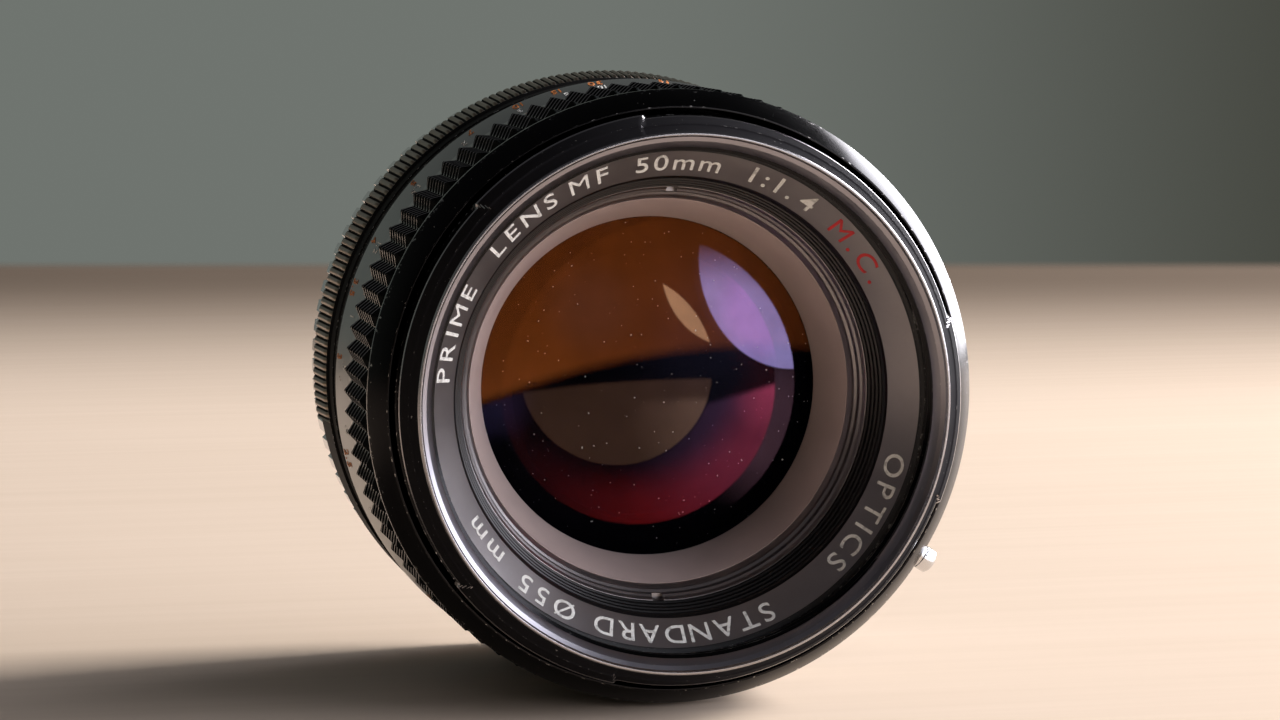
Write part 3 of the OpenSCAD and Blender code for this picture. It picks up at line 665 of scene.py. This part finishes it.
def band_radius(z):
    return np.interp(z, [BAND_LOW + 0.1, BAND_HIGH], [BAND_R - 0.03, GROUND_R])


FOCAL_LENGTH, TRAVEL, THROW = 50.0, 7.3, 200.0
INDEX = 90.0
FOOT = 0.3048


def focus_angle(distance_m):
    """How far the ring turns from infinity for a distance from the film, in degrees."""
    d = distance_m / MM
    image = (d - math.sqrt(d * d - 4 * FOCAL_LENGTH * d)) / 2.0
    return THROW * (image - FOCAL_LENGTH) / TRAVEL


SCALE_BOLD, UNIT_ANGLE = 0.01, 84.0
METRES = ["10", "5", "3", "2", "1.5", "1.2", "1", ".9", ".8", ".7", ".6", ".55", ".5", ".45"]
FEET = ["30", "15", "10", "7", "5", "4", "3.5", "3", "2.5", "2", "1.75"]
for scale, unit, metres_each, marks, height, unit_height, base, material in (
    ("metres", "m", 1.0, METRES, 0.95, 0.8, 23.1, "white_fill"),
    ("feet", "ft", FOOT, FEET, 1.15, 1.0, 21.4, "orange_fill"),
):
    lines = [
        (s, height, INDEX + focus_angle(float(s) * metres_each), 0, base, SCALE_BOLD)
        for s in marks
    ]
    lines.append((unit, unit_height, UNIT_ANGLE, 0, base, SCALE_BOLD))
    place(
        lettering("focus_scale_" + scale, lines, material, on_band(band_radius)),
        "focus", "black_gloss",
    )


# ---- Front barrel ----

LUGS, LUG_MIDDLE, LUG_HALF, LUG_LIFT = 3, 117.0, 20.0, 0.4
LUG_PITCH = 360 / LUGS
LUG_LOW, LUG_HIGH, LUG_SLANT = 45.0, 47.6, 2.2
LUG_END = 0.55
RIM_R, LAND_Z, CREST_Z, LAND_TOP_Z = 30.3, 46.0, 49.0, 48.72
THREAD_R = 27.1


def lug_share(angle, z):
    """1 on the hood lugs and 0 between them; their ends are slanted."""
    a = (np.degrees(angle) - LUG_MIDDLE + 180) % LUG_PITCH - LUG_PITCH / 2
    edge = LUG_HALF - LUG_SLANT * np.clip((z - LUG_LOW) / (LUG_HIGH - LUG_LOW), 0, 1)
    return np.clip((edge - np.abs(a)) / LUG_END + 0.5, 0, 1)


def shape_front(angle, r, z, wear):
    rim = (r > 29.0) & (z > 44.9) & (z < 48.2)
    lift = np.interp(
        z, [44.9, 45.1, LAND_Z, 47.9, 48.2], [0.0, LUG_LIFT, LUG_LIFT, 0.55 * LUG_LIFT, 0.0]
    )
    return np.where(rim, r + lift * lug_share(angle, z), r), z, wear


def on_rim_edge(r, z, angle):
    """The thin edges of the rim's land, of its crest and of the lugs' slanted ends: a brighter worn
    metal there draws painted highlight lines.
    """
    share = lug_share(np.radians(angle), z)
    ends = (np.abs(share - 0.5) < 0.15) & (r > 29.5)
    foot = (r > 29.75) & (np.abs(z - LAND_Z - 0.02) < 0.15)
    return ends | foot | ((z > LAND_TOP_Z) & (r > 28.2))


front_section = [
    (20.65, 27.0), (30.4, 27.0), (30.4, 44.1), (29.7, 44.3, 0.05), (29.7, 45.05, 0.05),
    (RIM_R, 45.25, 0.08), (RIM_R, LAND_Z - 0.14, 0), (RIM_R, LAND_Z, 0.05),
    (30.21, 46.18, 0), (30.05, 46.5, 0), (29.8, 47.05, 0), (29.55, 47.6, 0.12),
    (29.35, 47.7, 0.05), (28.72, LAND_TOP_Z, 0.05), (28.6, CREST_Z, 0.06),
    (28.38, CREST_Z, 0.06), (28.2, 48.7, 0.05), (27.75, 48.45, 0.1), (27.35, 47.95, 0.1),
    (THREAD_R - 0.01, 47.6, 0.05), (THREAD_R - 0.01, 45.7, 0.03), (27.5, 45.7, 0.03),
    (27.5, 45.1, 0.03), (27.05, 45.1), (27.05, 41.4),
    (25.1, 41.4), (25.1, 29.6), (20.65, 29.6),
]
# The ring is cut finely where the lugs end.
lug_cuts = [
    LUG_MIDDLE + LUG_PITCH * k + side * (LUG_HALF - back) + d
    for k in range(LUGS) for side in (-1, 1) for back in (0, 0.8, 1.5, LUG_SLANT)
    for d in (-0.3, -0.1, 0.1, 0.3)
]
front_angles = np.concatenate([np.arange(0, 360, 1.0), np.array(lug_cuts) % 360])
front_angles = np.unique(np.round(front_angles, 3))
front_barrel = turned(
    "front_barrel_body", front_section, "black_gloss", angles=front_angles, shape=shape_front,
)
paint_faces(
    front_barrel,
    [
        ("rim_land", lambda r, z, a: (z > LAND_Z) & (r > 28.7)),
        ("rim_chamfer", lambda r, z, a: (z > 47.65) & (r < 28.4)),
        ("black_matt", lambda r, z, a: (r < 27.6) & (z > 40) & (z < 47.65)),
        ("rim_edge_highlight", on_rim_edge),
    ],
)
place(front_barrel, "lens_block", "black_gloss", "front_barrel")

# The filter thread stands out from the rim's wall as one long helical ridge.
THREAD_PITCH, THREAD_TURNS, THREAD_START, THREAD_DEPTH = 0.75, 1.9, 46.0, 0.36
THREAD_PROFILE = np.array([-0.31, -0.06, 0.06, 0.31])


def filter_thread():
    angle = np.radians(np.arange(0, 360 * THREAD_TURNS, 3.0))
    rise = THREAD_START + THREAD_PITCH * angle / (2 * math.pi)
    fade = np.clip(np.minimum(angle, angle[-1] - angle) / 0.6, 0.02, 1)
    r = THREAD_R - THREAD_DEPTH * np.outer(fade, [0, 1, 1, 0])
    verts = world(r, angle[:, None], rise[:, None] + THREAD_PROFILE).reshape(-1, 3)
    faces = grid_faces(len(angle), 4, False, True)
    faces += [[0, 1, 2, 3], [len(verts) - 1 - k for k in range(4)]]
    wear = np.tile([0.0, 0.75, 0.75, 0.0], len(angle))
    return to_object("filter_thread", verts, faces, "black_gloss", wear)


place(filter_thread(), "lens_block", "black_gloss")


# ---- Name ring ----

NAME_OUTER, NAME_INNER = (26.5, 44.52), (23.75, 41.75)
COMB_STEPS = 4
comb = []
for k in range(COMB_STEPS):
    edge, low = 23.42 - 0.26 * k, 40.9 - 0.62 * k
    comb += [(edge, low, 0.03), (edge - 0.02, low - 0.34, 0.03), (edge - 0.2, low - 0.42, 0.03)]
name_section = (
    [(26.95, 45.05, 0.05), (26.62, 44.78, 0.04), (*NAME_OUTER, 0.04)]
    + [(*NAME_INNER, 0.08), (23.62, 41.2, 0.04)]
    + comb
    + [(22.4, 38.3, 0.05), (22.4, 38.2), (25.0, 38.2), (25.0, 41.45), (27.0, 41.45), (27.0, 45.05)]
)
name_ring = turned("name_ring_face", name_section, "black_satin")
paint_faces(
    name_ring,
    [
        ("black_comb", lambda r, z, a: (z < 41.6) & (r < 23.8)),
        ("black_matt", lambda r, z, a: z > NAME_OUTER[1] + 0.03),
    ],
)
place(name_ring, "lens_block", "black_satin", "name_ring")

CAP, BASE_LINE = 2.45, 1.0
CONE_LOW = np.array(NAME_INNER)
CONE_RUN = (np.array(NAME_OUTER) - CONE_LOW) / math.dist(NAME_OUTER, NAME_INNER)
CONE_OUT = np.array([-CONE_RUN[1], CONE_RUN[0]])
TEXT_R = CONE_LOW[0] + 2.2 * CONE_RUN[0]
MM_PER_DEGREE = math.radians(1) * TEXT_R


def bend_cone(x, y, depth, middle):
    """Text on the conical ring: its tops point outwards, and it reads clockwise."""
    spot = CONE_LOW + np.outer(y, CONE_RUN) + np.outer(depth + LETTER_LIFT, CONE_OUT)
    angle = math.radians(middle) - x / TEXT_R
    return world(spot[:, 0], angle, spot[:, 1])


def ring_line(text, start, end, bold=0.015):
    span = abs(start - end) * MM_PER_DEGREE
    return text, CAP, (start + end) / 2, span, BASE_LINE, bold


place(
    lettering(
        "name_ring_lettering",
        [
            ring_line("PRIME", 174.5, 150.5), ring_line("LENS", 141, 121),
            ring_line("MF", 117, 107), ring_line("50mm", 100, 79),
            ring_line("1:1.4", 71, 53.5, 0.02), ring_line("OPTICS", 345, 313),
            ring_line("STANDARD", 292, 252), ring_line("Ø55", 244, 228),
            ring_line("mm", 221, 209),
        ],
        "white_fill", bend_cone,
    ),
    "lens_block", "black_satin",
)
place(
    lettering("name_ring_red_mark", [ring_line("M.C.", 47, 29)], "red_fill", bend_cone),
    "lens_block", "black_satin",
)


# ---- Bowl behind the name ring ----


NOTCHES, NOTCH_HALF, NOTCH_FLOOR = (88.0, 268.0), 1.5, 36.7


def shape_notches(angle, r, z, wear):
    """Cuts the two notches for a wrench."""
    a = np.degrees(angle)
    for middle in NOTCHES:
        inside = np.abs((a - middle + 180) % 360 - 180) < NOTCH_HALF
        z = np.where(inside & (r < 23.1) & (z > NOTCH_FLOOR), NOTCH_FLOOR, z)
    return r, z, wear


notch_cuts = [
    middle + side * (NOTCH_HALF + d) for middle in NOTCHES for side in (-1, 1) for d in (-0.02, 0.02)
]
notch_angles = np.unique(np.concatenate([np.arange(0, 360, 1.0), notch_cuts]))
place(
    turned(
        "retaining_ring_face",
        [
            (21.05, 31.65), (24.9, 31.65), (24.9, 38.1), (23.1, 38.1, 0.02), (22.35, 38.1, 0.08),
            (22.1, 37.5, 0.05), (21.85, 37.3, 0.05), (21.75, 36.6, 0.05), (21.45, 36.4, 0.05),
            (21.4, 35.8, 0.05), (21.05, 35.3, 0.05),
        ],
        "black_satin", angles=notch_angles, shape=shape_notches,
    ),
    "lens_block", "black_satin", "retaining_ring",
)
place(
    turned(
        "inner_cone_face",
        [
            (18.64, 29.65, 0.03), (19.9, 29.65), (19.9, 31.62), (21.0, 31.62), (21.0, 35.3, 0.04),
            (20.95, 35.3, 0.02),
        ],
        "baffle_grey",
    ),
    "lens_block", "baffle_grey", "inner_cone",
)


def sphere_arc(middle_z, curve_r, reach, count=40):
    """Points of a lens surface from the axis out to a radius."""
    r = reach * np.sin(np.linspace(0, math.pi / 2, count))
    r[0] = 0.001
    drop = abs(curve_r) - np.sqrt(curve_r**2 - r**2)
    return [(a, middle_z - math.copysign(b, curve_r), 0) for a, b in zip(r, drop)]


def element(name, material, node, semi, front, back, edge=0.12):
    """A lens element from its front and back surfaces, with a chamfered ground edge."""
    top = sphere_arc(*front, semi - edge)
    low = sphere_arc(*back, semi - edge)
    section = top + [(semi, top[-1][1] - edge, 0), (semi, low[-1][1] + edge, 0)] + low[::-1]
    place(
        turned(name, section, material, radius=0, angles=np.arange(0, 360, 1.5)),
        "lens_block", "coated_glass", node,
    )


element("front_element", "glass_front", "glass_1", 18.6, (34.6, 37.3), (29.6, 150.0))
element("rear_element", "glass_rear", "glass_7", 11.9, (-2.8, 90.0), (-5.7, -110.0))


# ---- Flash pin ----


def radial_pin(name, material, angle, z, section):
    """A turned pin whose own axis points outwards; its section is radius against reach."""
    r, reach, wear = rounded(section, 0.08)
    turn = np.radians(np.arange(0, 360, 7.5))
    out = np.array([math.cos(math.radians(angle)), 0, math.sin(math.radians(angle))])
    side = np.array([-out[2], 0, out[0]])
    along = np.array([0, -1.0, 0])
    sideways = np.cos(turn)[:, None, None] * side + np.sin(turn)[:, None, None] * along
    verts = reach[None, :, None] * out + r[None, :, None] * sideways + z * along
    faces = grid_faces(len(turn), len(r))
    return to_object(name, verts.reshape(-1, 3) * MM, faces, material, np.tile(wear, len(turn)))


place(
    radial_pin(
        "flash_pin_turned", "chrome", 327, 39.7,
        [(0.001, 31.42), (1.33, 31.42), (1.33, 33.3, 0.02), (1.25, 33.4, 0.02),
         (1.25, 33.5, 0.02), (1.33, 33.6, 0.02), (1.33, 34.7, 0.1), (1.03, 34.98, 0.1),
         (0.4, 34.98, 0.05), (0.3, 34.86, 0.02), (0.001, 34.84, 0)],
    ),
    "focus", "chrome", "flash_pin",
)


# ---- Scale ring ----

SCALE_R = 32.8
place(
    turned(
        "scale_ring_face",
        [
            (29.02, 15.9), (32.6, 15.9, 0.1), (SCALE_R, 16.1, 0.1),
            (SCALE_R, 16.5, 0.02), (SCALE_R - 0.12, 16.6, 0.02),
            (SCALE_R - 0.12, 16.75, 0.02), (SCALE_R, 16.85, 0.02),
            (SCALE_R, 20.5, 0.1), (32.55, 20.8, 0.1), (29.02, 20.8),
        ],
        "black_band",
    ),
    "barrel", "black_gloss", "scale_ring",
)


scale_radius = constant_radius(SCALE_R)
BLUR_CIRCLE = 0.03
BLUR_DEGREES = BLUR_CIRCLE / TRAVEL * THROW
MARK_LOW, MARK_HIGH = 19.0, 20.4
depth_lines, depth_marks = [], [(INDEX - 0.25, INDEX + 0.25, 17.2, MARK_HIGH)]
for stop in (4, 8, 16):
    for side in (-1, 1):
        middle = INDEX + side * stop * BLUR_DEGREES
        depth_lines.append((str(stop), 0.95, middle, 0, 17.6, SCALE_BOLD))
        depth_marks.append((middle - 0.11, middle + 0.11, MARK_LOW, MARK_HIGH))
place(
    lettering("depth_scale_numbers", depth_lines, "white_fill", on_band(scale_radius)),
    "barrel", "black_gloss",
)
place(
    arc_patch("depth_scale_lines", scale_radius, depth_marks, "white_fill"),
    "barrel", "black_gloss",
)
infrared = [(INDEX + 2.2, INDEX + 2.45, MARK_LOW, MARK_HIGH)]
place(arc_patch("infrared_mark", scale_radius, infrared, "red_fill"), "barrel", "black_gloss")


# ---- Aperture ring ----

KNURL_LOW, KNURL_HIGH = 5.7, 12.5
KNURL_TEETH, KNURL_DEPTH = 236, 0.3
KNURL_PITCH = 360 / KNURL_TEETH
KNURL_START, KNURL_END = -9.0, 189.0
KNURL_FOOT_R, KNURL_REAR_R, KNURL_FRONT_R = 33.2, 33.93, 33.45
NUMBER_R = 32.9


def shape_knurl(angle, r, z, wear):
    """Raises the teeth over a bit more than half of the ring; they run out at both ends."""
    a = (np.degrees(angle) + 90) % 360 - 90
    inside = (a > KNURL_START) & (a < KNURL_END) & (r > 33.0)
    inside &= (z > KNURL_LOW - 0.01) & (z < KNURL_HIGH + 0.01)
    tooth = np.cos(math.pi * nearest(a, KNURL_PITCH))
    top = np.interp(z, [KNURL_LOW, KNURL_HIGH], [KNURL_REAR_R, KNURL_FRONT_R])
    lift = top - KNURL_FOOT_R - KNURL_DEPTH * (1 - tooth)
    lift = np.minimum(lift, 1.0 * (z - KNURL_LOW) + 0.1 * tooth)
    lift = np.minimum(lift, 0.6 * (KNURL_HIGH - 0.9 + 0.9 * tooth - z))
    lift = np.clip(lift, 0, None)
    return np.where(inside, r + lift, r), z, np.where(inside, 0.0, wear)


def in_knurl(r, z, angle):
    return (r > KNURL_FOOT_R + 0.02) & (z > KNURL_LOW) & (z < KNURL_HIGH)


# The valleys between the teeth take the dull black band material instead of the teeth's warm metal:
# painted shade between the teeth.
def in_knurl_gap(r, z, angle):
    return in_knurl(r, z, angle) & (np.abs(nearest(angle, KNURL_PITCH)) > 0.4)


tooth_samples = [-0.5, -0.33, -0.17, 0.0, 0.17, 0.33]
aperture_ring = turned(
    "aperture_ring_knurled",
    [(29.05, 5.0), (32.8, 5.0, 0.1), (KNURL_FOOT_R, 5.4, 0.1)]
    + [(KNURL_FOOT_R, z, 0) for z in np.linspace(KNURL_LOW, KNURL_HIGH, 15)]
    + [
        (KNURL_FOOT_R, 12.6, 0.03), (NUMBER_R, 12.9, 0.05), (NUMBER_R, 15.5, 0.1),
        (32.7, 15.7, 0.1), (29.05, 15.7), (29.05, 12.8), (31.4, 12.8), (31.4, 7.6), (29.05, 7.6),
    ],
    "black_band", angles=adaptive(KNURL_PITCH, tooth_samples, KNURL_TEETH),
    shape=shape_knurl, sharp=26.0,
)
paint_faces(aperture_ring, [("knurl_black", in_knurl), ("black_band", in_knurl_gap)])
place(aperture_ring, "aperture", "black_gloss", "aperture_ring")


number_radius = constant_radius(NUMBER_R)
STOPS = ["1.4", "2", "2.8", "4", "5.6", "8", "11", "16"]
STOP_DEGREES = 11
stop_angles = [INDEX - STOP_DEGREES * k for k in range(len(STOPS))]
stop_lines = [(s, 1.3, angle, 0, 13.5, 0.012) for s, angle in zip(STOPS, stop_angles)]
half_stops = [
    (angle - STOP_DEGREES / 2 - 0.1, angle - STOP_DEGREES / 2 + 0.1, 14.0, 14.8)
    for angle in stop_angles[:-1]
]
place(
    lettering("aperture_numbers", stop_lines, "white_fill", on_band(number_radius)),
    "aperture", "black_gloss",
)
place(
    arc_patch("aperture_half_stops", number_radius, half_stops, "white_fill"),
    "aperture", "black_gloss",
)
place(
    radial_pin(
        "lock_button_turned", "chrome", 335, 10.2,
        [(0.001, 30.8), (2.3, 30.8), (2.3, 31.3), (1.7, 31.3, 0.02), (1.7, 33.85, 0.12),
         (1.45, 34.2, 0.12), (1.0, 34.2, 0.05), (0.9, 34.1, 0.05), (0.001, 34.08, 0)],
    ),
    "lock", "chrome", "lock_button",
)


# ---- Breech ring ----

BREECH_RIBS, RIB_HEIGHT = 90, 0.48
BREECH_PITCH = 360 / BREECH_RIBS
BREECH_R, BREECH_BORE = 32.5, 29.05
CLAW_R, CLAW_TOP = 27.3, -1.2
CLAW_STARTS, CLAW_SPAN = (70, 190, 310), 40


def shape_breech(angle, r, z, wear):
    """Raises the ribs, and reaches inwards with the claws behind the bearing face."""
    a = np.degrees(angle) % 360
    u = nearest(a, BREECH_PITCH)
    zone = (r > 32.3) & (z > -1.45) & (z < 4.05)
    lift = RIB_HEIGHT * np.clip((0.36 - np.abs(u)) / 0.08, 0, 1)
    lift = np.minimum(lift, np.minimum((z + 1.4) * 0.9, (4.0 - z) * 0.9))
    lift = np.clip(lift, 0, None)
    claw = np.zeros(r.shape, bool)
    for start in CLAW_STARTS:
        claw |= (a > start + 0.01) & (a < start + CLAW_SPAN - 0.01)
    claw &= (r < 29.2) & (z < CLAW_TOP + 0.01)
    r = np.where(zone, r + lift, r)
    return np.where(claw, CLAW_R, r), z, np.where(zone, (lift > 0.4) * 0.6, wear)


claw_cuts = [
    edge for start in CLAW_STARTS for edge in (start + 0.04, start + CLAW_SPAN - 0.04)
]
rib_cuts = adaptive(BREECH_PITCH, [-0.5, -0.36, -0.28, 0.0, 0.28, 0.36], BREECH_RIBS)
rib_rows = (-1.4, -1.1, -0.85, 0.3, 1.3, 2.3, 3.45, 3.7, 4.0)
breech = turned(
    "breech_ring_ribbed",
    [(BREECH_BORE, -2.2, 0), (32.1, -2.2, 0.1), (BREECH_R, -1.8, 0.1)]
    + [(BREECH_R, z, 0) for z in rib_rows]
    + [
        (BREECH_R, 4.5, 0.1), (32.2, 4.8, 0.1), (30.5, 4.8), (30.5, 2.3), (BREECH_BORE, 2.3),
        (BREECH_BORE, CLAW_TOP + 0.05, 0), (BREECH_BORE, CLAW_TOP, 0),
    ],
    "chrome", angles=np.sort(np.append(rib_cuts, claw_cuts)), shape=shape_breech, sharp=30.0,
)
place(breech, "breech", "chrome", "breech_ring")
place(
    radial_pin(
        "mount_bead", "red_bead", 90, 1.3,
        [(0.001, 31.42), (1.0, 31.42), (1.0, 32.9, 0.1), (0.75, 33.15, 0.15), (0.35, 33.25, 0.1),
         (0.001, 33.27, 0)],
    ),
    "breech", "red_bead", "mount_dot",
)


# ---- CAD pieces that stay ----

slots = {s["node"]: s["material_slot"] for s in frame["record"]["subparts"]}
for node_name, obj in frame["nodes"].items():
    if obj.hide_render:
        continue
    obj.data.materials.clear()
    obj.data.materials.append(MATERIALS[slots[node_name]])


# ---- Studio ----

# The camera's axes, read from the shape of the photographed ellipses.
RIGHT = Vector((0.97667, -0.21474, 0.0))
AHEAD = Vector((0.21358, 0.97141, -0.10366))
FLOOR_Z = -0.0334
FLOOR_X, FLOOR_Y = (-1.1, 1.3), (-0.42, 0.9)
# How far behind the lens the floor grows dim and then gives way to the wall, in millimetres.
DIM_FROM, DIM_TO, GONE_FROM, GONE_TO = 200.0, 520.0, 536.0, 570.0


def pale_floor():
    mat, t = new_material("pale_floor")
    spot, _, _ = coordinates(t)
    grain = noise(t, vmath(t, "MULTIPLY", spot, (0.01, 0.35, 1.0)), 1.0, 4.0, 0.55)
    tone = mix(t, grain, (0.65, 0.515, 0.40), (0.73, 0.59, 0.475))
    distance = vmath(t, "DOT_PRODUCT", spot, (-RIGHT.y, RIGHT.x, 0.0), out=1)
    dim = maths(t, "MULTIPLY", step(t, distance, DIM_FROM, DIM_TO), 0.85)
    tone = mix(t, dim, tone, (0.035, 0.018, 0.008))
    board = add(t, "BsdfPrincipled", Base_Color=tone, Roughness=0.5, Specular_IOR_Level=0.05)
    gone = add(t, "BsdfTransparent", Color=(1, 1, 1, 1))
    far = step(t, distance, GONE_FROM, GONE_TO)
    finish_material(t, add(t, "MixShader", Fac=far, i1=board, i2=gone))
    return mat


def floor():
    (left, right), (front, back) = FLOOR_X, FLOOR_Y
    corners = [(left, front), (right, front), (right, back), (left, back)]
    mesh = bpy.data.meshes.new("floor")
    mesh.from_pydata([(x, y, FLOOR_Z) for x, y in corners], [], [(0, 1, 2, 3)])
    mesh.materials.append(pale_floor())
    obj = bpy.data.objects.new("floor", mesh)
    bpy.context.scene.collection.objects.link(obj)
    obj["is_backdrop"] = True


def studio():
    """A grey-green wall behind, darker to the right, a dark room in front and a dim ceiling."""
    data = bpy.data.worlds.new("studio")
    data.use_nodes = True
    t = data.node_tree
    t.nodes.clear()
    axes = t.nodes.new("ShaderNodeSeparateXYZ")
    t.links.new(add(t, "TexCoord", out=0), axes.inputs[0])
    x, y, z = axes.outputs
    wall = mix(t, step(t, x, 0.19, 0.42), (0.160, 0.176, 0.160), (0.050, 0.051, 0.040))
    room = mix(t, step(t, y, -0.35, 0.35), (0.012, 0.010, 0.010), wall)
    room = mix(t, step(t, z, 0.25, 0.75), room, (0.06, 0.06, 0.065))
    out = t.nodes.new("ShaderNodeOutputWorld")
    t.links.new(add(t, "Background", Color=room, Strength=1.0), out.inputs[0])
    bpy.context.scene.world = data


floor()
studio()


def area(name, place_at, target, size, power, color, glossy=True, diffuse=True):
    data = bpy.data.lights.new(name, "AREA")
    data.shape = "RECTANGLE"
    data.size, data.size_y = size
    data.energy = power
    data.color = color
    obj = bpy.data.objects.new(name, data)
    obj.location = place_at
    obj.rotation_euler = (Vector(target) - Vector(place_at)).to_track_quat("-Z", "Y").to_euler()
    obj.visible_camera = False
    obj.visible_glossy = glossy
    obj.visible_diffuse = diffuse
    bpy.context.scene.collection.objects.link(obj)
    obj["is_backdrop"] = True


area("window", (1.5, -0.35, 0.62), (0.0, -0.35, 0.62), (3.2, 1.1), 74.0, (0.88, 0.90, 1.0))
area("key", (1.3, 0.22, 0.78), (0.0, 0.0, 0.0), (0.5, 0.5), 36.0, (1.0, 0.97, 0.93), glossy=False)
area(
    "window_glow", (1.6, 0.75, 0.56), (0.0, 0.0, 0.0), (1.5, 1.25), 70.0, (0.98, 0.96, 1.0),
    diffuse=False,
)
area("front_pane", (0.529, -1.188, 0.113), (0.0, -0.035, 0.0), (0.5, 0.44), 2.2, (1.0, 0.97, 1.0))

# How far the middle of the front rim lies right of, below and ahead of the camera, in metres.
RIM_ASIDE, RIM_BELOW, RIM_AHEAD = 0.0051, 0.0048, 0.4197
camera = bpy.data.objects.new("camera", bpy.data.cameras.new("camera"))
camera.data.lens = 112.5
camera.data.sensor_width = 36.0
camera.data.clip_start = 0.01
up = RIGHT.cross(AHEAD)
turn = Matrix((RIGHT, up, -AHEAD)).transposed().to_4x4()
rim = Vector((0.0, -CREST_Z * MM, 0.0))
spot = rim - RIM_ASIDE * RIGHT + RIM_BELOW * up - RIM_AHEAD * AHEAD
camera.matrix_world = Matrix.Translation(spot) @ turn
bpy.context.scene.collection.objects.link(camera)
bpy.context.scene.camera = camera
bpy.context.scene.view_settings.view_transform = "Standard"

sizes = {
    name: [[float(v) for v in corner] for corner in box]
    for name, box in (("cad", cad_bounds), ("visual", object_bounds()))
}
